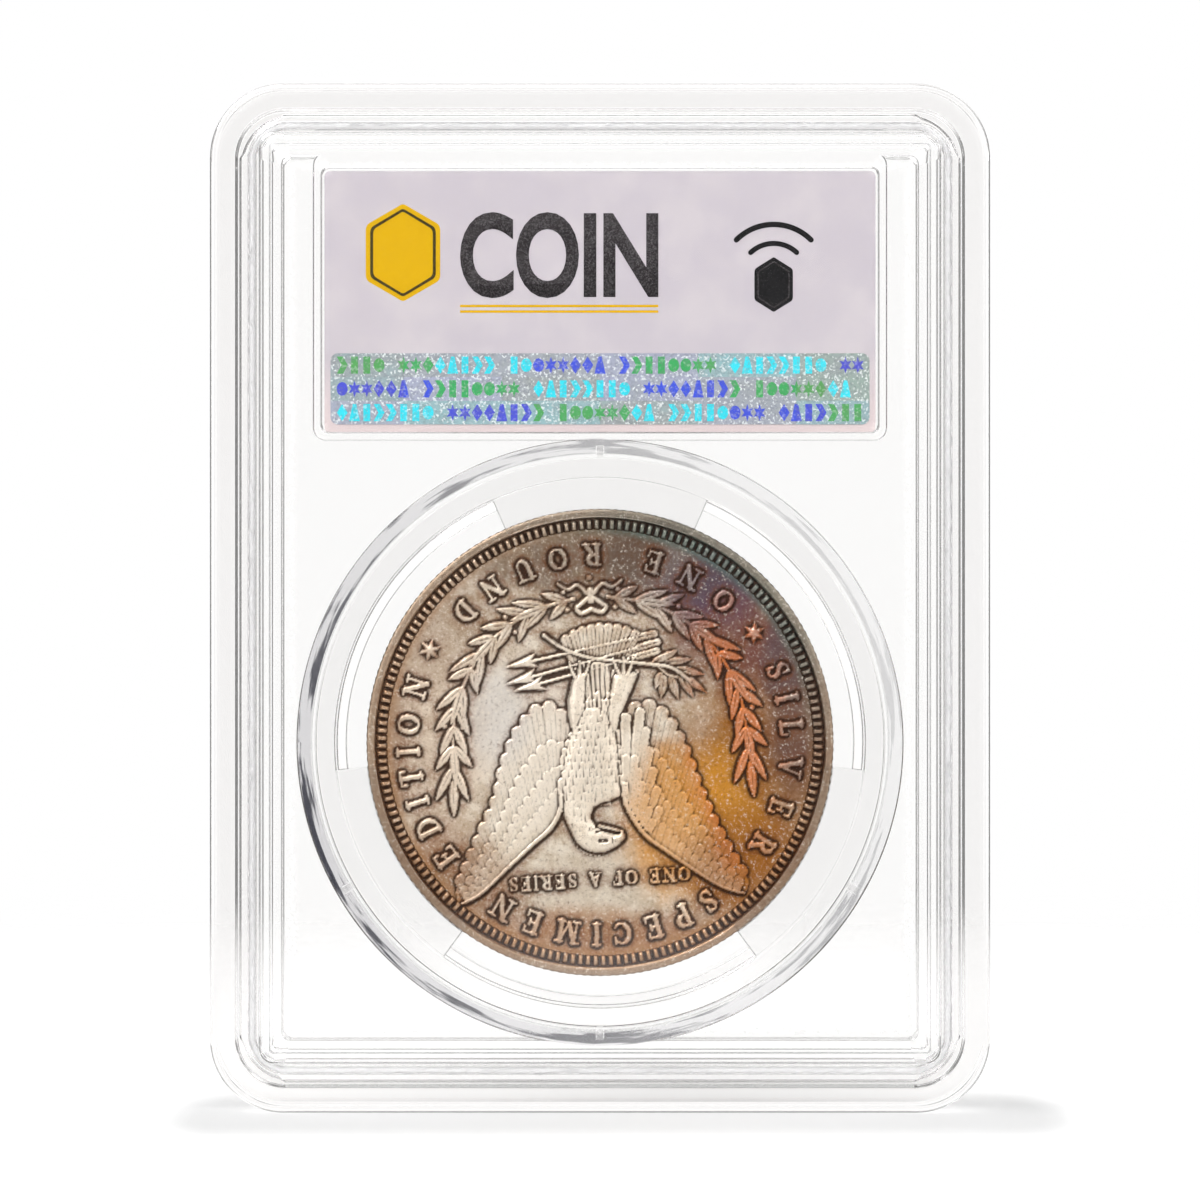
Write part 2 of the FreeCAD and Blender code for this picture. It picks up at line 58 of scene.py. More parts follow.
class Wire:
    # one output of a node, which can be used in a sum
    def __init__(self, tree, socket):
        self.tree = tree
        self.socket = socket

    def maths(self, operation, *values):
        node = self.tree.nodes.new("ShaderNodeMath")
        node.operation = operation
        for place, value in enumerate(values):
            plug(self.tree, node.inputs[place], value)
        return Wire(self.tree, node.outputs[0])

    def __add__(self, other):
        return self.maths("ADD", self, other)

    def __radd__(self, other):
        return self.maths("ADD", other, self)

    def __sub__(self, other):
        return self.maths("SUBTRACT", self, other)

    def __rsub__(self, other):
        return self.maths("SUBTRACT", other, self)

    def __mul__(self, other):
        return self.maths("MULTIPLY", self, other)

    def __rmul__(self, other):
        return self.maths("MULTIPLY", other, self)

    def __truediv__(self, other):
        return self.maths("DIVIDE", self, other)

    def __rtruediv__(self, other):
        return self.maths("DIVIDE", other, self)

    def __pow__(self, other):
        return self.maths("POWER", self, other)

    def __abs__(self):
        return self.maths("ABSOLUTE", self)

    def least(self, other):
        return self.maths("MINIMUM", self, other)

    def most(self, other):
        return self.maths("MAXIMUM", self, other)

    def held(self):
        # kept between 0 and 1
        return self.least(1.0).most(0.0)

    def rise(self, low, high):
        # 0 below low, 1 above high and smooth between
        share = ((self - low) / (high - low)).held()
        return share * share * (3 - 2 * share)

    def hump(self, middle, width):
        # 1 at the middle, falling to nothing at about twice the width
        return self.maths("EXPONENT", ((self - middle) / width) ** 2 * -1.0)


def plug(tree, socket, value):
    if isinstance(value, Wire):
        tree.links.new(value.socket, socket)
    elif hasattr(value, "__len__") and len(value) == 3 and socket.type == "RGBA":
        socket.default_value = (*value, 1)
    else:
        socket.default_value = value


class Finish:
    # a material and the nodes that go into it
    def __init__(self, name, **fixed):
        self.material = bpy.data.materials.new(name)
        self.material.use_nodes = True
        self.tree = self.material.node_tree
        self.shader = self.tree.nodes["Principled BSDF"]
        for socketName, value in fixed.items():
            self.feed(socketName.replace("_", " "), value)

    def feed(self, socketName, value):
        plug(self.tree, self.shader.inputs[socketName], value)

    def make(self, kind, settings, inputs, output=0):
        node = self.tree.nodes.new("ShaderNode" + kind)
        for name, value in settings.items():
            if name == "stops":
                ramp = node.color_ramp
                while len(ramp.elements) < len(value):
                    ramp.elements.new(0.5)
                for element, (place, shade) in zip(ramp.elements, value):
                    element.position = place
                    element.color = (*shade, 1)
            else:
                setattr(node, name, value)
        for name, value in inputs.items():
            plug(self.tree, node.inputs[name], value)
        return Wire(self.tree, node.outputs[output])

    def place(self):
        # where a point lies, in millimetres
        spot = self.make("TexCoord", {}, {}, "Object")
        return self.make("VectorMath", {"operation": "SCALE"}, {"Vector": spot, "Scale": 1 / mm})

    def axes(self, spot):
        return [self.make("SeparateXYZ", {}, {"Vector": spot}, axis) for axis in "XYZ"]

    def noise(self, spot, scale, detail=3.0, roughness=0.55):
        return self.make("TexNoise", {}, {"Vector": spot, "Scale": scale, "Detail": detail,
                                          "Roughness": roughness})

    def blend(self, share, first, second, how="MIX"):
        return self.make("Mix", {"data_type": "RGBA", "blend_type": how},
                         {0: share, 6: first, 7: second}, 2)

    def kept(self, name):
        # a number stored at each corner of the mesh
        return self.make("Attribute", {"attribute_name": name}, {}, "Fac")

    def bump(self, height, strength, distance):
        normal = self.make("Bump", {}, {"Height": height, "Strength": strength, "Distance": distance})
        self.feed("Normal", normal)


def shade(red, green, blue):
    # a colour as seen on a screen, made linear
    return tuple((c / 255 / 12.92 if c <= 10 else ((c / 255 + 0.055) / 1.055) ** 2.4)
                 for c in (red, green, blue))


def newPiece(name, verts, faces, finish, replaces=(), smoothAngle=40):
    mesh = bpy.data.meshes.new(name)
    mesh.from_pydata([tuple(np.asarray(v) * mm) for v in verts], [], faces)
    mesh.validate()
    piece = bpy.data.objects.new(name, mesh)
    bpy.context.scene.collection.objects.link(piece)
    dress(piece, finish, replaces)
    soften(piece, smoothAngle)
    return piece


def dress(piece, finish, replaces=()):
    piece.data.materials.clear()
    piece.data.materials.append(finish.material)
    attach(piece, "root")
    if replaces:
        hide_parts(*replaces)


def soften(piece, angle):
    # smooth shading across gentle edges only
    mesh = piece.data
    mesh.polygons.foreach_set("use_smooth", [True] * len(mesh.polygons))
    mesh.set_sharp_from_angle(angle=math.radians(angle))


def evenNormals(piece):
    weighted = piece.modifiers.new("evenNormals", "WEIGHTED_NORMAL")
    weighted.keep_sharp = True
    weighted.weight = 100


def arcSteps(corner, before, after, radius, steps):
    # rounds one corner of a section; points carry extra values that are blended
    corner, before, after = (np.asarray(p, float) for p in (corner, before, after))
    flat = slice(0, 2)
    toBefore = (before - corner)[flat]
    toAfter = (after - corner)[flat]
    lengthBefore, lengthAfter = np.linalg.norm(toBefore), np.linalg.norm(toAfter)
    angle = math.acos(np.clip(toBefore @ toAfter / (lengthBefore * lengthAfter), -1, 1))
    cut = min(radius / math.tan(angle / 2), 0.48 * lengthBefore, 0.48 * lengthAfter)
    start = corner + (before - corner) * cut / lengthBefore
    end = corner + (after - corner) * cut / lengthAfter
    points = []
    for t in np.linspace(0, 1, steps):
        # a rational curve through the corner's arc
        weight = math.sin(angle / 2)
        basis = np.array([(1 - t) ** 2, 2 * t * (1 - t) * weight, t ** 2])
        points.append(basis @ np.array([start, corner, end]) / basis.sum())
    return points


def roundSection(points, radius, steps=4):
    # rounds every inner corner of an open section; the ends stay as they are
    line = [np.asarray(points[0], float)]
    for before, corner, after in zip(points, points[1:], points[2:]):
        line += arcSteps(corner, before, after, corner[3] if len(corner) > 3 else radius, steps)
    line.append(np.asarray(points[-1], float))
    return line


def rectangleLoop(halfWidth, low, high, corner, arcPoints=9):
    # a rounded rectangle in the X-Z plane
    loop = []
    corner = max(corner, 0.02)
    for number, (sx, sz) in enumerate(((1, -1), (1, 1), (-1, 1), (-1, -1))):
        cx = sx * (halfWidth - corner)
        cz = (low + corner) if sz < 0 else (high - corner)
        for step in range(arcPoints):
            angle = math.radians(-90 + 90 * number + 90 * step / (arcPoints - 1))
            loop.append((cx + corner * math.cos(angle), cz + corner * math.sin(angle)))
    return loop


def loftLoops(loops, closed=False):
    # joins loops of equal length into one skin and caps its two ends
    verts = [point for loop in loops for point in loop]
    count = len(loops[0])
    faces = []
    pairs = list(range(len(loops) - 1)) + ([len(loops) - 1] if closed else [])
    for level in pairs:
        other = (level + 1) % len(loops)
        for n in range(count):
            m = (n + 1) % count
            faces.append((level * count + n, level * count + m, other * count + m, other * count + n))
    if not closed:
        faces.append(tuple(reversed(range(count))))
        faces.append(tuple(range((len(loops) - 1) * count, len(loops) * count)))
    return verts, faces


def solidFrom(name, verts, faces):
    # a bare closed mesh with its normals outward, used for joining
    mesh = bpy.data.meshes.new(name)
    mesh.from_pydata([tuple(np.asarray(v) * mm) for v in verts], [], faces)
    work = bmesh.new()
    work.from_mesh(mesh)
    bmesh.ops.remove_doubles(work, verts=work.verts, dist=1e-7)
    bmesh.ops.recalc_face_normals(work, faces=work.faces)
    work.to_mesh(mesh)
    work.free()
    piece = bpy.data.objects.new(name, mesh)
    bpy.context.scene.collection.objects.link(piece)
    return piece


def combine(base, others, operation):
    for other in others:
        joint = base.modifiers.new("joint", "BOOLEAN")
        joint.operation = operation
        joint.solver = "EXACT"
        joint.object = other
        depsgraph = bpy.context.evaluated_depsgraph_get()
        mesh = bpy.data.meshes.new_from_object(base.evaluated_get(depsgraph))
        base.modifiers.clear()
        base.data = mesh
        bpy.data.objects.remove(other)
    return base


# one face of the coin as heights, in millimetres

coinDesign = {
    "gridStep": 0.1,
    "gridReach": 17.6,
    "letterStand": 0.24,
}


class Relief:
    # heights over a square grid; u runs right and v runs up as the design reads

    def __init__(self, reach, step):
        count = int(round(2 * reach / step)) + 1
        self.axis = np.linspace(-reach, reach, count)
        self.u, self.v = np.meshgrid(self.axis, self.axis)
        self.height = np.zeros_like(self.u)

    def near(self, points, margin):
        low, high = np.min(points, axis=0) - margin, np.max(points, axis=0) + margin
        columns = slice(*np.searchsorted(self.axis, (low[0], high[0])))
        rows = slice(*np.searchsorted(self.axis, (low[1], high[1])))
        return rows, columns

    def lay(self, area, value, over):
        # over is the ground, or its height, that the shape stands on; the higher one wins
        old = self.height[area]
        ground = over[area] if isinstance(over, np.ndarray) else over
        self.height[area] = np.where(value > 0, np.maximum(old, ground + value), old)

    def carve(self, points, width, depth):
        # a groove along a line
        area, distance, _, _ = self.measure(points, width)
        self.height[area] -= depth * np.clip(1 - (distance / width) ** 2, 0, 1)

    def measure(self, points, margin):
        # distance to a line of points, how far along it, and which side
        points = np.asarray(points, float)
        area = self.near(points, margin)
        u, v = self.u[area], self.v[area]
        best = np.full(u.shape, 1e9)
        along = np.zeros(u.shape)
        side = np.zeros(u.shape)
        lengths = np.hypot(*np.diff(points, axis=0).T)
        total = lengths.sum()
        done = 0.0
        for start, end, length in zip(points, points[1:], lengths):
            if length == 0:
                continue
            du, dv = (end - start) / length
            t = (u - start[0]) * du + (v - start[1]) * dv
            s = (v - start[1]) * du - (u - start[0]) * dv
            held = np.clip(t, 0, length)
            distance = np.hypot(t - held, s)
            closer = distance < best
            best = np.where(closer, distance, best)
            along = np.where(closer, (done + held) / total, along)
            side = np.where(closer, s, side)
            done += length
        return area, best, along, side

    def stroke(self, points, width, height, taper=(1, 1), crown=0.5, over=0):
        # a rounded bar along a line; taper scales its width at its two ends
        area, distance, along, _ = self.measure(points, width)
        half = width / 2 * (taper[0] + (taper[1] - taper[0]) * along)
        value = height * np.clip(1 - (distance / np.maximum(half, 1e-3)) ** 2, 0, 1) ** crown
        self.lay(area, value, over)

    def blob(self, outline, height, edge, over=0):
        # a filled outline whose border rounds down over the distance edge
        outline = np.asarray(outline, float)
        closed = np.vstack([outline, outline[:1]])
        area, distance, _, _ = self.measure(closed, 0.3)
        u, v = self.u[area], self.v[area]
        inside = np.zeros(u.shape, bool)
        for (u0, v0), (u1, v1) in zip(closed, closed[1:]):
            if v0 == v1:
                continue
            crosses = (v0 > v) != (v1 > v)
            inside ^= crosses & (u < (u1 - u0) * (v - v0) / (v1 - v0) + u0)
        rounded = 1 - np.clip(1 - distance / edge, 0, 1) ** 2
        value = np.where(inside, height * np.sqrt(rounded), 0)
        self.lay(area, value, over)
        return area, inside

    def leaf(self, root, tip, width, height, over=0, rib=0.35, belly=0.8):
        # two sloping halves that meet at a sunken middle rib
        root, tip = np.asarray(root, float), np.asarray(tip, float)
        area = self.near([root, tip], width)
        length = math.hypot(*(tip - root))
        du, dv = (tip - root) / length
        t = ((self.u[area] - root[0]) * du + (self.v[area] - root[1]) * dv) / length
        s = (self.v[area] - root[1]) * du - (self.u[area] - root[0]) * dv
        held = np.clip(t, 0, 1)
        half = width / 2 * np.sin(math.pi * held ** belly) ** 0.8 + 1e-4
        share = np.abs(s) / half
        body = np.where((t > 0) & (t < 1), np.clip(1 - share ** 2, 0, 1), 0) ** 0.55
        groove = rib * np.exp(-(s / (0.12 * width)) ** 2) * (body > 0)
        self.lay(area, height * np.clip(body - groove, 0, 1) * (0.75 + 0.25 * held), over)

    def feather(self, root, tip, width, height, over=0, shaft=0.2):
        # even width with a round end, higher towards the end, and a fine shaft
        root, tip = np.asarray(root, float), np.asarray(tip, float)
        area = self.near([root, tip], width)
        length = math.hypot(*(tip - root))
        du, dv = (tip - root) / length
        t = (self.u[area] - root[0]) * du + (self.v[area] - root[1]) * dv
        s = (self.v[area] - root[1]) * du - (self.u[area] - root[0]) * dv
        half = width / 2
        beyond = np.clip(t - (length - half), 0, None)
        r = np.hypot(s, beyond) / half
        body = np.where(t > 0, np.clip(1 - r ** 2, 0, 1), 0) ** 0.4
        groove = shaft * np.exp(-(s / 0.07) ** 2) * (t < length - half * 0.6)
        rise = 0.45 + 0.55 * np.clip(t / length, 0, 1)
        self.lay(area, height * rise * np.clip(body - groove * (body > 0), 0, 1), over)


def curve(points, closed=False, steps=8):
    # a smooth line through its points
    points = np.asarray(points, float)
    count = len(points)
    if closed:
        order = [(n - 1, n, n + 1, n + 2) for n in range(count)]
        order = [tuple(i % count for i in group) for group in order]
    else:
        order = [(max(n - 1, 0), n, n + 1, min(n + 2, count - 1)) for n in range(count - 1)]
    line = []
    for a, b, c, d in order:
        for t in np.arange(steps) / steps:
            line.append(0.5 * (2 * points[b] + (points[c] - points[a]) * t
                               + (2 * points[a] - 5 * points[b] + 4 * points[c] - points[d]) * t ** 2
                               + (3 * points[b] - points[a] - 3 * points[c] + points[d]) * t ** 3))
    if not closed:
        line.append(points[-1])
    return np.array(line)


def pointAt(line, share):
    lengths = np.concatenate([[0], np.cumsum(np.hypot(*np.diff(line, axis=0).T))])
    target = share * lengths[-1]
    return np.array([np.interp(target, lengths, line[:, 0]), np.interp(target, lengths, line[:, 1])])


def polar(radius, degrees):
    return np.array([radius * math.cos(math.radians(degrees)), radius * math.sin(math.radians(degrees))])


def bow(cu, cv, ru, rv, start, end, steps=14):
    # part of an ellipse, angles in degrees
    angles = np.radians(np.linspace(start, end, steps))
    return [(cu + ru * math.cos(a), cv + rv * math.sin(a)) for a in angles]


# Serif capitals, one unit tall. Each has a width and strokes: thick ones first, then thin
# ones and the serifs that end them.
def serifFeet(*places):
    return [[(u - 0.17, v), (u + 0.17, v)] for u, v in places]


letterShapes = {
    "A": (0.86, [[(0.43, 0.97), (0.76, 0.0)]],
          [[(0.43, 0.97), (0.12, 0.0)], [(0.24, 0.34), (0.62, 0.34)]] + serifFeet((0.12, 0.0), (0.76, 0.0))),
    "C": (0.84, [bow(0.46, 0.5, 0.36, 0.47, 120, 240)],
          [bow(0.46, 0.5, 0.36, 0.47, 120, 38), bow(0.46, 0.5, 0.36, 0.47, 240, 322),
           [(0.76, 0.98), (0.76, 0.66)]]),
    "D": (0.88, [[(0.22, 0.0), (0.22, 1.0)], bow(0.34, 0.5, 0.42, 0.48, 55, -55)],
          [[(0.06, 1.0), (0.4, 1.0)], [(0.06, 0.0), (0.4, 0.0)],
           bow(0.34, 0.5, 0.42, 0.5, 90, 50, 6), bow(0.34, 0.5, 0.42, 0.5, -90, -50, 6)]),
    "E": (0.78, [[(0.22, 0.0), (0.22, 1.0)]],
          [[(0.06, 1.0), (0.7, 1.0)], [(0.06, 0.0), (0.72, 0.0)], [(0.22, 0.51), (0.54, 0.51)],
           [(0.7, 1.0), (0.7, 0.78)], [(0.72, 0.0), (0.72, 0.24)], [(0.54, 0.64), (0.54, 0.38)]]),
    "F": (0.72, [[(0.22, 0.0), (0.22, 1.0)]],
          [[(0.06, 1.0), (0.7, 1.0)], [(0.06, 0.0), (0.4, 0.0)], [(0.22, 0.5), (0.54, 0.5)],
           [(0.7, 1.0), (0.7, 0.76)], [(0.54, 0.64), (0.54, 0.36)]]),
    "I": (0.44, [[(0.22, 0.0), (0.22, 1.0)]], serifFeet((0.22, 0.0), (0.22, 1.0))),
    "L": (0.74, [[(0.22, 0.0), (0.22, 1.0)]],
          [[(0.06, 0.0), (0.7, 0.0)], [(0.7, 0.0), (0.7, 0.28)]] + serifFeet((0.22, 1.0))),
    "M": (1.02, [[(0.16, 1.0), (0.5, 0.08)], [(0.86, 0.0), (0.86, 1.0)]],
          [[(0.14, 0.0), (0.14, 1.0)], [(0.5, 0.08), (0.84, 1.0)]]
          + serifFeet((0.14, 0.0), (0.86, 0.0), (0.1, 1.0), (0.9, 1.0))),
    "N": (0.92, [[(0.16, 1.0), (0.76, 0.02)]],
          [[(0.16, 0.0), (0.16, 1.0)], [(0.76, 0.0), (0.76, 1.0)]]
          + serifFeet((0.16, 0.0), (0.76, 1.0), (0.12, 1.0))),
    "O": (0.9, [bow(0.45, 0.5, 0.36, 0.47, 130, 230), bow(0.45, 0.5, 0.36, 0.47, -50, 50)],
          [bow(0.45, 0.5, 0.36, 0.47, 130, 50), bow(0.45, 0.5, 0.36, 0.47, 230, 310)]),
    "P": (0.76, [[(0.22, 0.0), (0.22, 1.0)], bow(0.4, 0.74, 0.27, 0.24, 60, -60)],
          [[(0.06, 1.0), (0.42, 1.0)], [(0.22, 0.48), (0.42, 0.48)], [(0.06, 0.0), (0.4, 0.0)]]),
    "R": (0.86, [[(0.22, 0.0), (0.22, 1.0)], bow(0.4, 0.75, 0.26, 0.23, 60, -60), [(0.44, 0.5), (0.76, 0.0)]],
          [[(0.06, 1.0), (0.42, 1.0)], [(0.22, 0.5), (0.44, 0.5)]] + serifFeet((0.22, 0.0), (0.74, 0.0))),
    "S": (0.72, [[(0.14, 0.76), (0.22, 0.6), (0.36, 0.52), (0.5, 0.43), (0.58, 0.26)]],
          [bow(0.36, 0.74, 0.22, 0.24, 180, 35), bow(0.36, 0.26, 0.22, 0.25, 0, -150),
           [(0.56, 0.98), (0.56, 0.72)], [(0.13, 0.02), (0.13, 0.3)]]),
    "T": (0.8, [[(0.4, 0.0), (0.4, 1.0)]],
          [[(0.06, 1.0), (0.74, 1.0)], [(0.07, 1.0), (0.07, 0.76)], [(0.73, 1.0), (0.73, 0.76)]]
          + serifFeet((0.4, 0.0))),
    "U": (0.9, [[(0.2, 1.0), (0.2, 0.36)], bow(0.45, 0.34, 0.25, 0.32, 180, 250, 8)],
          [bow(0.45, 0.34, 0.25, 0.33, 250, 360, 9), [(0.7, 0.34), (0.7, 1.0)]]
          + serifFeet((0.2, 1.0), (0.7, 1.0))),
    "V": (0.86, [[(0.12, 1.0), (0.44, 0.03)]],
          [[(0.44, 0.03), (0.74, 1.0)]] + serifFeet((0.12, 1.0), (0.74, 1.0))),
}


def writeLetter(relief, letter, size, place, height):
    # place maps a point of the letter, in its own units, onto the coin
    width, thick, thin = letterShapes[letter]
    for strokes, share in ((thick, 0.25), (thin, 0.14)):
        for points in strokes:
            line = [place((u - width / 2) * size, v * size) for u, v in points]
            relief.stroke(line, share * size, height, crown=0.22)


def legendAlong(relief, text, size, radius, middle, pitch, height, inward=False):
    # letters round an arc; inward ones stand with their heads towards the centre
    widths = [letterShapes[letter][0] for letter in text]
    spacing = pitch / (sum(widths) / len(widths))
    position = -sum(widths) * spacing / 2
    for letter, width in zip(text, widths):
        angle = math.degrees((position + width * spacing / 2) / (radius + size / 2))
        position += width * spacing
        turn = math.radians(middle + (angle if inward else -angle))
        outward = np.array([math.cos(turn), math.sin(turn)])
        right = np.array([-outward[1], outward[0]]) * (1 if inward else -1)
        up = -outward if inward else outward
        foot = outward * (radius + (size if inward else 0))
        writeLetter(relief, letter, size, lambda a, b: foot + right * a + up * b, height)


def legendLine(relief, text, size, centre, pitch, height, sag=0.0):
    widths = [0.6 if letter == " " else letterShapes[letter][0] for letter in text]
    spacing = pitch / (sum(widths) / len(widths))
    position = -sum(widths) * spacing / 2
    for letter, width in zip(text, widths):
        u = centre[0] + position + width * spacing / 2
        position += width * spacing
        if letter != " ":
            foot = np.array([u, centre[1] - sag * (u - centre[0]) ** 2])
            writeLetter(relief, letter, size, lambda a, b: foot + (a, b), height)


def star(relief, centre, radius, height, points=6, turn=0.0):
    # a faceted star: ridges run out to the points, valleys between them
    area = relief.near([centre], radius)
    u, v = relief.u[area] - centre[0], relief.v[area] - centre[1]
    angle = np.arctan2(v, u) - turn
    wedge = 2 * math.pi / points
    off = np.abs((angle + wedge / 2) % wedge - wedge / 2)
    inner = radius * 0.5
    # edge of the star along this direction, from point to notch
    au, av = radius, 0.0
    bu, bv = inner * math.cos(wedge / 2), inner * math.sin(wedge / 2)
    du, dv = np.cos(off), np.sin(off)
    edge = (au * bv - av * bu) / (du * (bv - av) - dv * (bu - au))
    share = np.hypot(u, v) / edge
    relief.lay(area, height * np.clip(1 - share, 0, 1) ** 0.7, 0)


def wreath(relief, anchors, height):
    # two mirrored branches; pairs of slender leaves grow forwards all along them
    for side in (-1, 1):
        stem = curve([(-side * u, v) for u, v in anchors])
        relief.stroke(stem, 0.3, height * 0.7)
        count = 3 * len(anchors) - 3
        for number in range(count):
            share = (number + 0.35) / count
            here, ahead = pointAt(stem, share), pointAt(stem, min(1.0, share + 0.02))
            heading = math.degrees(math.atan2(*(ahead - here)[::-1])) if share < 0.97 else heading
            grown = 0.85 + 0.2 * ((number * 7) % 3) / 2
            for turn, reach in ((26, 3.0), (-24, 3.1)) if number % 2 else ((36, 2.5), (-34, 2.6)):
                lean = turn * (0.85 + 0.3 * ((number * 5 + (turn > 0)) % 4) / 3)
                tip = here + polar(reach * grown, heading + lean)
                relief.leaf(here, tip, 0.74, height, over=0.006 * number)
            if number % 3 == 1:
                relief.leaf(here, here + polar(3.3, heading + 4), 0.8, height, over=0.006 * number + 0.02)
            for turn in (78, -82) if number % 3 == 0 else ():
                spot = here + polar(0.75, heading + turn)
                relief.stroke([spot, spot + (0.01, 0)], 0.4, height * 0.9)
        relief.leaf(stem[-1], stem[-1] + polar(3.2, heading), 0.8, height, over=0.05)


def featherRows(relief, lead, trail, rows):
    # rows of feathers from the leading edge to the trailing edge, each row over the last
    for count, first, last, width, height, over, span in rows:
        for number in range(count):
            share = span[0] + (span[1] - span[0]) * (number + 0.5) / count
            a, b = pointAt(lead, share), pointAt(trail, share)
            relief.feather(a + (b - a) * first, a + (b - a) * last, width, height, over)


def plumage(relief, area, inside, spacing, direction, size, height, seed, lift=0.0):
    # small overlapping body feathers on a staggered grid, laid from the far end forwards
    draw = np.random.default_rng(seed)
    along = polar(1, direction)
    across = np.array([-along[1], along[0]])
    u, v = relief.u[area], relief.v[area]
    ground = relief.height.copy() + lift
    spots = np.column_stack([u[inside], v[inside]])
    t, s = spots @ along, spots @ across
    for row, tt in enumerate(np.arange(t.max(), t.min(), -spacing)):
        for ss in np.arange(s.min(), s.max(), spacing * 0.95):
            centre = along * tt + across * (ss + (row % 2) * spacing * 0.48)
            r, c = (np.searchsorted(relief.axis, centre[axis]) - area[1 - axis].start for axis in (1, 0))
            if not (0 <= r < inside.shape[0] and 0 <= c < inside.shape[1] and inside[r, c]):
                continue
            tip = centre + polar(size, direction + draw.uniform(-12, 12))
            relief.feather(centre - along * size * 0.5, tip, spacing * draw.uniform(0.85, 1.1), height,
                           over=ground, shaft=0.3)


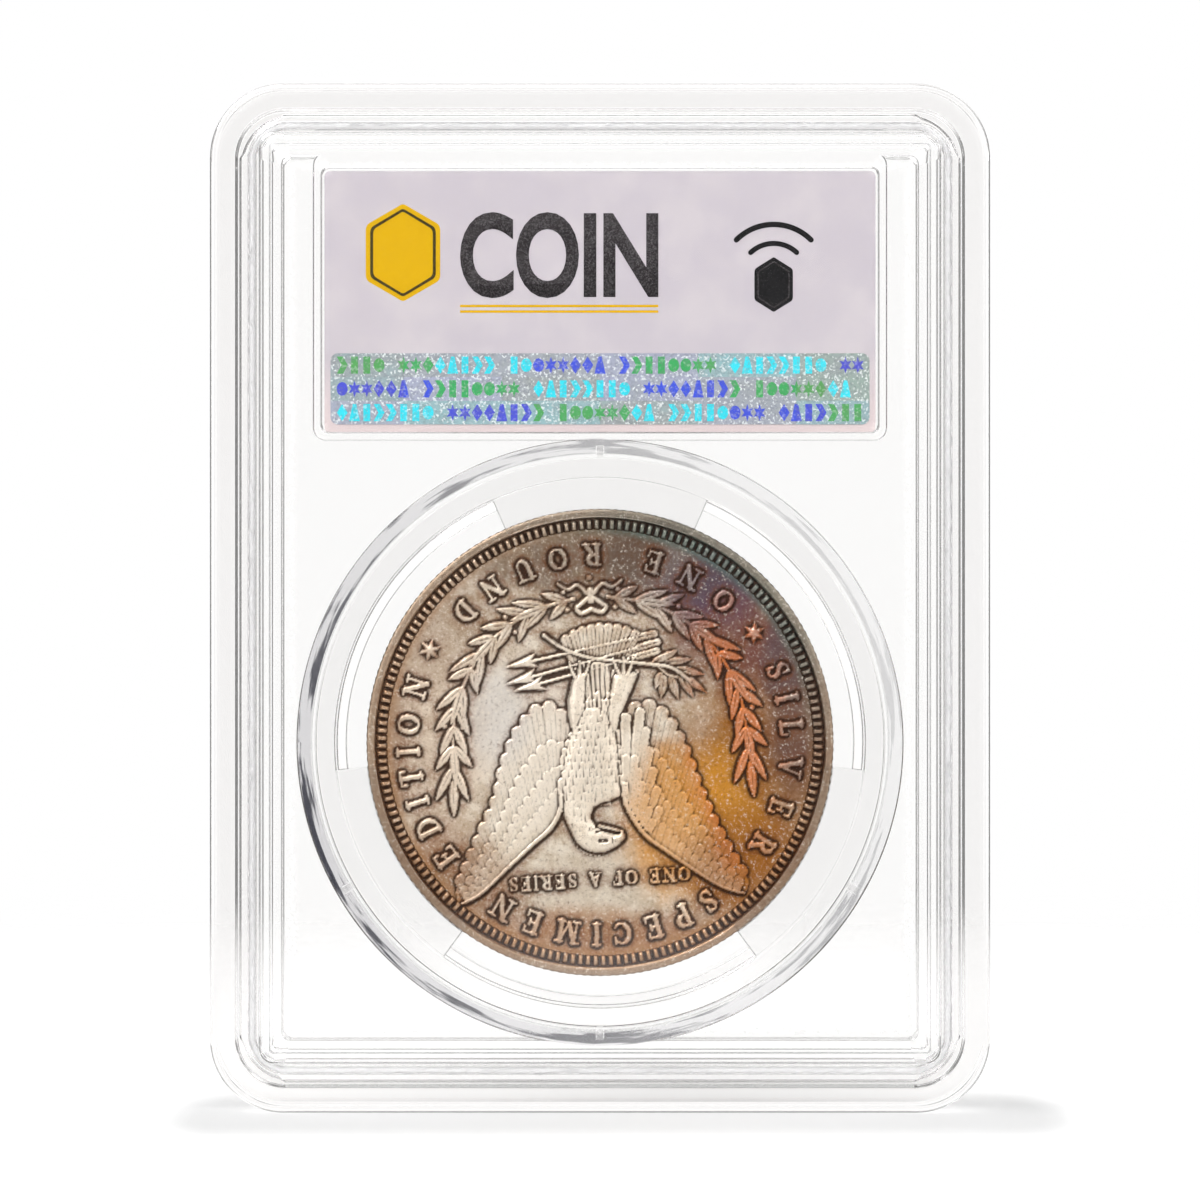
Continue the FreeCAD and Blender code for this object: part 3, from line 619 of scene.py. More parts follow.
def eagle(relief):
    top = 0.2
    # wings, the design's left one first
    leftLead = curve([(-1.75, 3.6), (-1.9, 5.3), (-3.1, 7.6), (-4.8, 9.1), (-7.2, 11.0), (-9.2, 12.4),
                      (-10.9, 13.0)])
    leftTrail = curve([(-1.6, -0.6), (-2.7, -2.9), (-4.6, -3.2), (-6.1, -1.5), (-7.1, 0.9), (-7.8, 3.4),
                       (-9.0, 6.6), (-10.3, 9.3), (-11.5, 11.6), (-11.2, 12.8)])
    rightLead = curve([(3.5, 3.9), (3.6, 5.2), (4.5, 6.7), (6.0, 7.9), (8.25, 9.8), (10.5, 11.7),
                       (12.1, 12.4)])
    rightTrail = curve([(2.5, -1.3), (3.0, -3.0), (4.7, -3.7), (6.7, -1.8), (8.0, 0.9), (8.8, 3.6),
                        (10.2, 6.2), (11.5, 8.6), (12.6, 10.8), (12.5, 12.1)])
    rows = [
        (17, 0.3, 1.0, 1.15, 0.11, 0.07, (0.0, 0.93)),
        (17, 0.2, 0.66, 1.0, 0.085, 0.125, (0.0, 0.95)),
        (18, 0.1, 0.42, 0.85, 0.07, 0.165, (0.0, 0.96)),
        (20, 0.0, 0.22, 0.7, 0.05, 0.2, (0.0, 0.97)),
    ]
    for lead, trail in ((leftLead, leftTrail), (rightLead, rightTrail)):
        middle = np.array([pointAt(lead, s) * 0.12 + pointAt(trail, s) * 0.88 for s in np.linspace(0, 1, 30)])
        relief.blob(np.vstack([lead, middle[::-1]]), 0.1, 0.5)
        featherRows(relief, lead, trail, rows)
        relief.stroke(lead, 0.42, 0.3, taper=(1.3, 0.6), crown=0.5)
    # the fold of the near wing
    inner = curve([(-1.8, 4.2), (-2.3, 5.6), (-3.0, 7.0), (-3.9, 8.0)])
    outer = curve([(-1.8, -1.6), (-2.6, -2.7), (-3.5, -2.6), (-4.1, 1.0), (-4.6, 5.0), (-4.5, 7.6)])
    featherRows(relief, inner, outer, [
        (7, 0.1, 1.0, 0.8, 0.09, 0.2, (0.0, 0.9)), (7, 0.0, 0.5, 0.7, 0.07, 0.25, (0.0, 0.9))])

    # tail: a narrow root between the legs and a fan under the arrows
    for number in range(9):
        share = number / 8 - 0.5
        order = abs(share)
        tip = np.array([-0.62 + 6.0 * share, -9.75 + 3.2 * share ** 2])
        relief.feather((0.0 + 1.1 * share, -3.4), tip, 0.82, 0.16 - 0.05 * order, over=0.06, shaft=0.25)
    relief.blob(curve([(-1.0, -2.4), (0.9, -2.4), (0.75, -6.3), (-1.1, -6.3)], closed=True), 0.26, 0.5)
    for shift in (-0.65, -0.3, 0.05, 0.4):
        relief.carve([(shift, -3.0), (shift * 1.2, -6.3)], 0.09, 0.06)

    # body and neck in one outline, then the legs
    torso = curve([(-1.75, 4.2), (-0.75, 4.75), (0.5, 5.1), (1.15, 6.0), (0.75, 7.0), (1.2, 8.0), (2.3, 8.0),
                   (2.9, 7.0), (3.4, 5.5), (3.5, 3.9), (3.35, 2.0), (2.9, 0.4), (2.0, -1.6), (0.9, -3.2),
                   (-0.6, -3.0), (-1.3, -1.2), (-1.5, 1.2), (-1.55, 3.4)], closed=True)
    area, inside = relief.blob(torso, 0.4, 1.7)
    plumage(relief, area, inside, 0.62, -90, 0.85, 0.11, seed=3)
    for outline, slant, seed in (
            ([(-1.3, -0.6), (-0.4, -2.0), (-1.0, -4.2), (-1.6, -5.6), (-3.3, -5.5), (-2.9, -4.2),
              (-2.0, -2.4)], -108, 5),
            ([(2.2, -0.8), (2.5, -3.0), (2.2, -4.4), (1.7, -5.7), (0.7, -5.8), (0.8, -4.0), (1.0, -2.2)],
             -95, 7)):
        area, inside = relief.blob(curve(outline, closed=True), 0.36, 0.9)
        plumage(relief, area, inside, 0.48, slant, 0.75, 0.09, seed)

    head = curve([(-1.45, 7.75), (-1.0, 8.45), (0.2, 8.95), (1.4, 8.85), (2.3, 8.2), (2.6, 7.3), (1.9, 6.6),
                  (1.1, 6.3), (1.05, 6.8), (0.3, 6.95), (-0.3, 7.2), (-0.7, 7.35)], closed=True)
    area, inside = relief.blob(head, 0.44, 0.9)
    crown = relief.height.copy()
    for number in range(16):
        for ring in range(4):
            turn = 128 - number * 11 + 4 * (ring % 2)
            spot = np.array([0.9, 7.4]) + polar(0.75 + 0.28 * ring, turn)
            if spot[0] > 0.75 - 0.25 * ring and spot[1] > 6.6:
                relief.feather(spot, spot + polar(0.5, turn - 80), 0.3, 0.05, over=crown)
    relief.blob(curve([(-1.55, 7.85), (-1.2, 8.2), (-0.5, 8.25), (-0.3, 7.7), (-0.9, 7.55), (-1.35, 7.2)],
                      closed=True), 0.46, 0.4)
    relief.stroke([(-1.0, 7.25), (-0.2, 7.0), (0.5, 6.8)], 0.28, 0.4)
    relief.carve(curve([(-1.3, 7.45), (-0.6, 7.42), (0.2, 7.2), (0.8, 7.25)]), 0.12, 0.16)
    relief.carve([(-0.5, 8.15), (-0.45, 7.75)], 0.1, 0.06)
    relief.carve([(0.05, 8.0), (0.5, 7.98)], 0.24, 0.16)
    relief.stroke([(0.28, 8.0), (0.3, 8.0)], 0.24, 0.43)
    relief.stroke(curve([(-0.25, 8.2), (0.25, 8.34), (0.8, 8.22)]), 0.24, 0.5)

    arrowsAndBranch(relief, top)


def arrowsAndBranch(relief, top):
    # olive branch held in one claw
    stem = curve([(-7.6, -4.6), (-6.2, -5.7), (-4.4, -6.1), (-2.0, -6.5), (0.6, -7.0), (2.6, -7.9),
                  (4.0, -9.0)])
    relief.stroke(stem, 0.34, top + 0.1)
    relief.stroke(curve([(-6.6, -4.9), (-5.8, -5.2), (-5.0, -6.0)]), 0.24, top)
    leaves = [((-6.4, -5.6), (-8.9, -3.5)), ((-6.8, -5.3), (-7.8, -3.2)), ((-6.0, -5.2), (-6.6, -3.1)),
              ((-5.6, -5.2), (-5.2, -3.3)), ((-6.2, -5.7), (-8.8, -5.0)), ((-5.4, -5.4), (-4.8, -4.1)),
              ((-5.3, -6.1), (-7.9, -6.3)), ((-4.9, -6.2), (-6.8, -7.1)), ((-4.6, -6.1), (-6.1, -6.9))]
    for root, tip in leaves:
        relief.leaf(root, tip, 0.72, 0.2)
    # three arrows: flights, shafts and barbed heads
    shafts = [((-5.4, -7.2), (6.9, -4.6)), ((-5.5, -7.9), (7.5, -5.2)), ((-5.3, -8.6), (7.4, -6.6))]
    for number, (tail, tip) in enumerate(shafts):
        tail, tip = np.array(tail), np.array(tip)
        along = (tip - tail) / math.hypot(*(tip - tail))
        beside = np.array([-along[1], along[0]])
        relief.stroke([tail + along * 2, tip - along], 0.26, top + 0.04)
        neckPoint = tip - along * 2.3
        barb = neckPoint - along * 0.5
        relief.blob([tip, barb + beside * 0.62, neckPoint, barb - beside * 0.62], 0.3 - 0.02 * number, 0.5)
        relief.feather(tail + along * 3.4, tail, 0.62, 0.2, over=0.03 * (2 - number), shaft=0.5)
        for notch in np.arange(0.5, 3.0, 0.32):
            spot = tail + along * notch
            relief.carve([spot + along * 0.15, spot + beside * 0.28], 0.05, 0.05)
            relief.carve([spot + along * 0.15, spot - beside * 0.28], 0.05, 0.05)
    # claws round the shafts
    for centre in ((-2.3, -6.3), (1.3, -6.2)):
        for shift, turn in ((-0.55, -110), (0.0, -92), (0.55, -74)):
            knuckle = np.array(centre) + (shift, 0.45)
            relief.stroke(curve([np.array(centre) + (shift * 0.3, 1.1), knuckle,
                                 knuckle + polar(0.9, turn)]), 0.42, top + 0.2, taper=(1, 0.5))


def reverseRelief():
    relief = Relief(coinDesign["gridReach"], coinDesign["gridStep"])
    stand = coinDesign["letterStand"]
    for word, middle, pitch in (("SILVER", 170.8, 3.0), ("SPECIMEN", 87.6, 2.55), ("EDITION", 5.9, 2.5)):
        legendAlong(relief, word, 1.7, 14.8, middle, pitch, stand)
    for word, middle, pitch in (("ONE", -123, 3.2), ("ROUND", -69.5, 2.9)):
        legendAlong(relief, word, 1.62, 14.5, middle, pitch, stand, inward=True)
    legendLine(relief, "ONE OF A SERIES", 1.05, (0.75, 10.6), 1.0, 0.17)
    star(relief, (-13.1, -8.1), 1.0, 0.3, turn=0.4)
    star(relief, (13.35, -8.4), 1.0, 0.3, turn=0.2)
    wreath(relief, [(-1.4, -11.8), (-5.3, -10.8), (-9.0, -8.1), (-11.5, -3.6), (-12.1, 2.2)], 0.22)
    ribbon(relief)
    eagle(relief)
    return relief


def ribbon(relief):
    # a tied bow where the two branches meet
    for side in (-1, 1):
        loop = curve([(0, -12.0), (side * 0.9, -11.3), (side * 1.2, -11.0), (side * 0.8, -10.6), (0, -10.9)])
        end = curve([(side * 0.2, -12.1), (side * 1.0, -12.9), (side * 1.8, -12.6), (side * 2.6, -13.1)])
        relief.stroke(loop, 0.42, 0.26)
        relief.stroke(end, 0.4, 0.22, taper=(1, 0.7))
    relief.stroke([(0, -12.4), (0, -11.6)], 0.62, 0.32)
    relief.stroke([(0, -13.45), (0.01, -13.45)], 0.5, 0.14)


def obverseRelief():
    relief = Relief(coinDesign["gridReach"], coinDesign["gridStep"])
    stand = coinDesign["letterStand"]
    for number in range(11):
        place = 27.7 * (number - 5) + 90
        star(relief, polar(15.6, place), 0.95, 0.28, points=5, turn=math.radians(place))
    legendAlong(relief, "ONE", 1.62, 14.5, -90, 3.2, stand, inward=True)
    wreath(relief, [(-1.4, -11.6), (-5.4, -10.8), (-9.0, -7.8), (-11.1, -3.0), (-11.0, 2.6),
                    (-8.6, 7.4)], 0.24)
    ribbon(relief)
    for angle in np.arange(0, 360, 7.5):
        spot = polar(8.0, angle)
        relief.stroke([spot, spot + (0.01, 0)], 0.5, 0.16)
    # a plain numeral
    relief.blob([(-0.95, -4.4), (-0.95, 3.0), (-2.6, 2.1), (-2.6, 3.2), (-0.2, 5.4), (0.95, 5.4),
                 (0.95, -4.4)], 0.36, 0.55)
    relief.blob([(-2.7, -5.4), (2.7, -5.4), (2.7, -4.4), (-2.7, -4.4)], 0.36, 0.4)
    return relief



def edgeDistance(finish, spot):
    # how far a point lies inside the slab's outline, ignoring its round corners
    x, _, z = finish.axes(spot)
    return (slabHalfWidth - abs(x)).least(z.least(slabHeight - z))


def clearPlastic(name, tint, rimTint, roughness, haze):
    # the solid rim is a touch greyer than the thin windows
    finish = Finish(name, Roughness=roughness, IOR=1.52, Transmission_Weight=1.0)
    spot = finish.place()
    inset = edgeDistance(finish, spot)
    speck = finish.noise(spot, 3.2, 4.0, 0.7)
    fine = finish.noise(spot, 9.0, 2.0, 0.6)
    scuff = finish.noise(spot, 0.25, 3.0, 0.6)
    colour = finish.blend(1 - inset.rise(3.8, 4.2), tint, rimTint)
    # painted reflections: the coin well's wall is drawn in grey and dark streaks that run round it, stronger
    # on one side
    x, y, z = finish.axes(spot)
    across, up = x, z - coinHeight
    squares = across * across + up * up
    radius = squares.maths("SQRT", squares)
    turn = up.maths("ARCTAN2", up, across)
    flow = finish.make("CombineXYZ", {}, {"X": radius * 1.5, "Y": turn * 2.3, "Z": 0.0})
    paintedStreak = finish.noise(flow, 1.0, 3.0, 0.6)
    wall = radius.rise(23.3, 23.6) * (1 - radius.rise(24.65, 24.85)) * (1 - abs(y).rise(0.4, 1.9))
    paintedSideWeight = 0.62 + 0.38 * turn.maths("COSINE", turn - math.radians(205))
    colour = finish.blend((wall * 0.6 * paintedSideWeight).held(), colour, shade(190, 188, 192))
    colour = finish.blend((wall * paintedStreak.rise(0.5, 0.6) * paintedSideWeight).held(), colour, shade(76, 76, 84))
    finish.feed("Base Color", colour)
    # a dusty band just inside the hollow, and a faint haze from handling elsewhere
    band = inset.hump(6.5, 0.3) * speck.rise(0.4, 0.62)
    finish.feed("Roughness", roughness + haze * band * 0.3 + 0.02 * scuff.rise(0.5, 0.7))
    finish.bump(scuff * 0.6 + band * fine * 0.25, 0.35, 0.02 * mm)
    return finish


def lightThrough(finish):
    # lets light reach what lies behind the plastic instead of casting a solid shadow
    passing = finish.make("LightPath", {}, {}, "Is Shadow Ray")
    clear = finish.make("BsdfTransparent", {}, {"Color": (0.93, 0.93, 0.93, 1)})
    solid = Wire(finish.tree, finish.shader.outputs[0])
    mixed = finish.make("MixShader", {}, {0: passing, 1: solid, 2: clear})
    plug(finish.tree, finish.tree.nodes["Material Output"].inputs["Surface"], mixed)


# Section through one shell: inset from the outline, height off the parting plane,
# corner radius of the loop there, and how far that corner of the section is rounded.
shellShape = {
    "window": 2.9,
    "middle": 3.15,
    "ledge": 3.45,
    "rim": 4.0,
    "parting": 0.03,
    "cavity": 1.75,
    "cavityInset": 5.7,
    "cornerRadius": 6.0,
    "seamInset": 2.95,
    "seamWidth": 0.7,
    "seamDepth": 1.23,
    "wellOuter": 24.7,
    "wellInner": 23.5,
    "keyWidth": 0.7,
    "keyReach": 24.2,
    "keyAngles": (90, 210, 270, 330),
    "pocketHalfWidth": 23.35,
    "pocketBottom": 54.6,
    "pocketWall": 0.6,
    "pocketFloor": 0.56,
}


def shellSection():
    s = shellShape
    seamOut, seamIn = s["seamInset"], s["seamInset"] + s["seamWidth"]
    seamLevel = s["seamDepth"]
    outer = s["cornerRadius"]
    return roundSection([
        (6.2, s["window"], 0.3, 0.0),
        (4.88, s["window"], 0.35, 0.06),
        (4.8, s["middle"], 0.4, 0.07),
        (4.1, s["middle"], 1.1, 0.08),
        (4.0, s["ledge"], 1.2, 0.09),
        (2.28, s["ledge"], 3.9, 0.16),
        (2.1, s["rim"], 4.1, 0.14),
        (0.0, s["rim"], outer, 0.6),
        (0.0, s["parting"], outer, 0.05),
        (seamOut, s["parting"], outer - seamOut, 0.03),
        (seamOut, seamLevel, outer - seamOut, 0.06),
        (seamIn, seamLevel, outer - seamIn, 0.06),
        (seamIn, s["parting"], outer - seamIn, 0.03),
        (s["cavityInset"], s["parting"], 0.75, 0.08),
        (s["cavityInset"] + 0.03, s["cavity"], 0.72, 0.12),
        (s["cavityInset"] + 0.6, s["cavity"], 0.3, 0.0)], 0.05, 5)


def shellBlank(name, side):
    loops = []
    for inset, level, corner, *_ in shellSection():
        loop = rectangleLoop(slabHalfWidth - inset, inset, slabHeight - inset, corner, 22)
        loops.append([(x, side * level, z) for x, z in loop])
    return solidFrom(name, *loftLoops(loops))


def roundWall(name, side):
    # the well's wall: a short tube whose foot sinks into the window
    s = shellShape
    foot, top = s["cavity"] + 0.3, s["parting"]
    section = roundSection([
        (s["wellInner"] + 0.05, foot, 0, 0), (s["wellInner"] + 0.03, top, 0, 0.12),
        (s["wellOuter"], top, 0, 0.1), (s["wellOuter"] - 0.02, foot, 0, 0)], 0.1, 4)
    loops = []
    for radius, level, *_ in section:
        loops.append([(radius * math.cos(a), side * level, coinHeight + radius * math.sin(a))
                      for a in np.linspace(0, 2 * math.pi, 240, endpoint=False)])
    return solidFrom(name, *loftLoops(loops, closed=True))


def labelPlatform(name, side):
    # a raised block with a shallow bed in its top for the labels
    s = shellShape
    foot, top, bed = s["cavity"] + 0.3, s["parting"], s["pocketFloor"]
    wall = s["pocketWall"]
    section = roundSection([
        (0.0, foot, 1.0, 0), (0.0, top, 1.0, 0.09), (wall, top, 0.6, 0.06),
        (wall + 0.04, bed, 0.55, 0.08), (wall + 0.8, bed, 0.4, 0)], 0.08, 4)
    high = slabHeight - s["cavityInset"] + 0.25
    loops = []
    for inset, level, corner, *_ in section:
        headroom = 0.55 if inset > 0.3 else 0.0
        loop = rectangleLoop(s["pocketHalfWidth"] - inset, s["pocketBottom"] + inset,
                             high - inset - headroom, corner, 7)
        loops.append([(x, side * level, z) for x, z in loop])
    return solidFrom(name, *loftLoops(loops))


def boxBetween(name, low, high, turn=0.0, centre=(0.0, 0.0)):
    # a plain block, used only to cut with; turned about the coin's axis
    verts = []
    for x in (low[0], high[0]):
        for y in (low[1], high[1]):
            for z in (low[2], high[2]):
                c, s = math.cos(turn), math.sin(turn)
                verts.append((centre[0] + x * c - z * s, y, centre[1] + x * s + z * c))
    faces = [(0, 1, 3, 2), (4, 6, 7, 5), (0, 4, 5, 1), (2, 3, 7, 6), (0, 2, 6, 4), (1, 5, 7, 3)]
    return solidFrom(name, verts, faces)


def makeShell(name, node, side, finish):
    s = shellShape
    blank = shellBlank(name, side)
    combine(blank, [roundWall("wall", side), labelPlatform("platform", side)], "UNION")
    slots = []
    for angle in s["keyAngles"]:
        near, far = s["wellInner"] - 0.3, s["keyReach"]
        levels = sorted((-side * 1.0, side * 1.3))
        slots.append(boxBetween("slot", (near, levels[0], -s["keyWidth"] / 2),
                                (far, levels[1], s["keyWidth"] / 2),
                                math.radians(angle), (0.0, coinHeight)))
    combine(blank, slots, "DIFFERENCE")
    dress(blank, finish, (node,))
    soften(blank, 34)
    evenNormals(blank)
    print(name, len(blank.data.polygons), "faces")
    return blank


ringShape = {
    "outer": 23.2,
    "wall": 21.6,
    "window": 20.65,
    "halfDepth": 1.7,
    "ledge": 1.1,
    "prongHalfDepth": 1.65,
    "prongReach": 18.35,
    "prongSpread": 48.0,
    "seatRadius": 19.08,
    "seatHalfDepth": 1.23,
    "prongAngles": (90, 210, 330),
    "keyAngles": (90, 210, 270, 330),
    "keyReach": 24.1,
}


def turned(name, section, segments=240, closed=True):
    # a section of radius and level, turned about the coin's axis
    loops = []
    for radius, level, *_ in section:
        loops.append([(radius * math.cos(a), level, coinHeight + radius * math.sin(a))
                      for a in np.linspace(0, 2 * math.pi, segments, endpoint=False)])
    return solidFrom(name, *loftLoops(loops, closed))


def prongBlock(name, middle):
    r = ringShape
    half = math.radians(r["prongSpread"] / 2)
    outline = []
    inner, outer, ease = r["prongReach"], r["wall"] + 0.25, 0.35
    # the outline runs out along one side and back along the other, with eased corners
    for a in np.linspace(-half, half, 25):
        outline.append((outer, a))
    for share in np.linspace(0, 1, 5):
        outline.append((inner + ease * (1 - math.sin(share * math.pi / 2)),
                        half - ease / inner * (1 - math.cos(share * math.pi / 2))))
    for a in np.linspace(half, -half, 25)[2:-2]:
        outline.append((inner, a))
    for share in np.linspace(1, 0, 5):
        outline.append((inner + ease * (1 - math.sin(share * math.pi / 2)),
                        -half + ease / inner * (1 - math.cos(share * math.pi / 2))))
    turn = math.radians(middle)
    loops = []
    for level, shrink in ((-r["prongHalfDepth"], 0.06), (-r["prongHalfDepth"] + 0.06, 0.0),
                          (r["prongHalfDepth"] - 0.06, 0.0), (r["prongHalfDepth"], 0.06)):
        loop = []
        for radius, angle in outline:
            held = max(radius, inner + shrink)
            squeeze = 1 - shrink / (inner * half)
            loop.append((held * math.cos(turn + angle * squeeze), level,
                         coinHeight + held * math.sin(turn + angle * squeeze)))
        loops.append(loop)
    return solidFrom(name, *loftLoops(loops))


def makeRing(finish):
    r = ringShape
    deep, ledge = r["halfDepth"], r["ledge"]
    section = roundSection([
        (r["window"], 0.0), (r["window"], -ledge), (r["wall"], -ledge), (r["wall"], -deep),
        (r["outer"], -deep), (r["outer"], deep), (r["wall"], deep), (r["wall"], ledge),
        (r["window"], ledge), (r["window"], 0.0)], 0.1, 4)[:-1]
    ring = turned("coinRing", section)
    prongs = [prongBlock("prong", angle) for angle in r["prongAngles"]]
    for angle in r["keyAngles"]:
        prongs.append(boxBetween("key", (r["outer"] - 0.3, -1.2, -0.25), (r["keyReach"], 1.2, 0.25),
                                 math.radians(angle), (0.0, coinHeight)))
    combine(ring, prongs, "UNION")
    seat = turned("seat", [(0.5, -r["seatHalfDepth"]), (r["seatRadius"], -r["seatHalfDepth"]),
                           (r["seatRadius"], r["seatHalfDepth"]), (0.5, r["seatHalfDepth"])], 240)
    combine(ring, [seat], "DIFFERENCE")
    dress(ring, finish, ("coin_ring",))
    soften(ring, 34)
    evenNormals(ring)
    print("coinRing", len(ring.data.polygons), "faces")
    return ring


seamShape = {
    "halfWidth": 0.29,
    "halfDepth": 0.54,
    "level": -0.62,
    "spacing": 0.35,
    "lumps": 0.035,
}


def weldSeam(finish):
    # melted flash that fills the groove round the tongue: a lumpy flat cord
    s, w = shellShape, seamShape
    draw = np.random.default_rng(17)
    loops = []
    middle = s["seamInset"] + s["seamWidth"] / 2
    for turn in np.linspace(0, 2 * math.pi, 10, endpoint=False):
        inset = middle + w["halfWidth"] * math.cos(turn)
        level = w["level"] + w["halfDepth"] * math.sin(turn)
        loop = []
        corner = s["cornerRadius"] - inset
        base = rectangleLoop(slabHalfWidth - inset, inset, slabHeight - inset, corner, 12)
        for (x0, z0), (x1, z1) in zip(base, base[1:] + base[:1]):
            pieces = max(1, int(math.hypot(x1 - x0, z1 - z0) / w["spacing"]))
            for t in np.arange(pieces) / pieces:
                loop.append((x0 + (x1 - x0) * t, level, z0 + (z1 - z0) * t))
        loops.append(loop)
    count = min(len(loop) for loop in loops)
    loops = [[loop[int(n * len(loop) / count)] for n in range(count)] for loop in loops]
    bumps = draw.normal(0, w["lumps"], (len(loops), count))
    loops = [[(x + bumps[k][n], y + bumps[k][(n * 7) % count], z + bumps[k][(n * 3) % count])
              for n, (x, y, z) in enumerate(loop)] for k, loop in enumerate(loops)]
    verts, faces = loftLoops(loops, closed=True)
    newPiece("weldSeam", verts, faces, finish, smoothAngle=60)


coinShape = {
    "gridStep": 0.1,          # spacing of the height grid
    "gridReach": 17.55,       # the grid runs on a little under the denticles
    "reliefScale": 0.68,
    "fieldSink": 0.33,        # the field lies this far below the rim
    "teeth": 180,
    "toothSamples": 8,
    "reverseTurn": 183.7,     # the reverse is struck upside down to the slab
    "obverseTurn": 3.7,
    # the next values set where shade is painted: in creases and at the feet of steep slopes
    "creaseSpread": 0.17,     # how far round a point its height is compared with
    "creaseStart": 0.0015,
    "creaseDepth": 0.016,
    "footHeight": 0.045,      # below this a slope belongs to the foot of a device
    "footBlend": 0.05,
    "footSlope": (0.4, 0.8),  # the slope where the foot darkens, and over how much more
    "glowSpread": 0.42,
    "skirtDepth": 0.35,
    "gridMargin": 0.1,
}


def blurred(height, step, spread):
    # a soft copy of the heights, made in the frequency domain
    frequency = np.fft.fftfreq(height.shape[0], step)
    across, up = np.meshgrid(frequency, frequency)
    damp = np.exp(-2 * (math.pi * spread) ** 2 * (across ** 2 + up ** 2))
    return np.real(np.fft.ifft2(np.fft.fft2(height) * damp))


def storeNumbers(mesh, name, numbers):
    layer = mesh.attributes.new(name, "FLOAT", "POINT")
    layer.data.foreach_set("value", np.asarray(numbers, np.float32))


def facePiece(name, relief, turn, side, finish):
    # the sheet of heights, closed below by a skirt and a flat floor
    c = coinShape
    step = c["gridStep"]
    height = relief.height * c["reliefScale"]
    slope = np.hypot(*np.gradient(height, step))
    # line marks painted shade, partly patina: creases that sit below their surroundings and the steep feet of
    # devices
    sunk = blurred(height, step, c["creaseSpread"]) - height - c["creaseStart"]
    crease = np.clip(sunk / c["creaseDepth"], 0, 1)
    foot = 1 - np.clip((height - c["footHeight"]) / c["footBlend"], 0, 1)
    steep = np.clip((slope - c["footSlope"][0]) / c["footSlope"][1], 0, 1)
    line = np.maximum(crease, 0.6 * foot * steep)
    glow = np.clip(blurred(line, step, c["glowSpread"]) * 2.2, 0, 1)
    inside = np.hypot(relief.u, relief.v) < c["gridReach"] - c["gridMargin"]
    number = np.full(inside.shape, -1)
    number[inside] = np.arange(inside.sum())
    angle = math.radians(turn)
    u, v = relief.u[inside], relief.v[inside]
    x = (u * math.cos(angle) - v * math.sin(angle)) * -side
    z = u * math.sin(angle) + v * math.cos(angle) + coinHeight
    field = coinHalfDepth - c["fieldSink"]
    y = side * (field + height[inside])
    a, b = number[:-1, :-1], number[:-1, 1:]
    d, e = number[1:, :-1], number[1:, 1:]
    whole = (a >= 0) & (b >= 0) & (d >= 0) & (e >= 0)
    quads = np.stack([a[whole], b[whole], e[whole], d[whole]], axis=1)

    work = bmesh.new()
    mesh = bpy.data.meshes.new(name)
    mesh.from_pydata((np.stack([x, y, z], axis=1) * mm).tolist(), [], quads.tolist())
    storeNumbers(mesh, "line", line[inside])
    storeNumbers(mesh, "crest", height[inside])
    storeNumbers(mesh, "glow", glow[inside])
    work.from_mesh(mesh)
    rim = [edge for edge in work.edges if edge.is_boundary]
    skirt = bmesh.ops.extrude_edge_only(work, edges=rim)["geom"]
    lower = [item for item in skirt if isinstance(item, bmesh.types.BMVert)]
    for vert in lower:
        vert.co.y = side * (field - c["skirtDepth"]) * mm
    bmesh.ops.holes_fill(work, edges=[e for e in work.edges if e.is_boundary], sides=0)
    bmesh.ops.recalc_face_normals(work, faces=work.faces)
    work.to_mesh(mesh)
    work.free()
    piece = bpy.data.objects.new(name, mesh)
    bpy.context.scene.collection.objects.link(piece)
    dress(piece, finish, ("coin",))
    soften(piece, 70)
    print(name, len(mesh.polygons), "faces")
    return piece


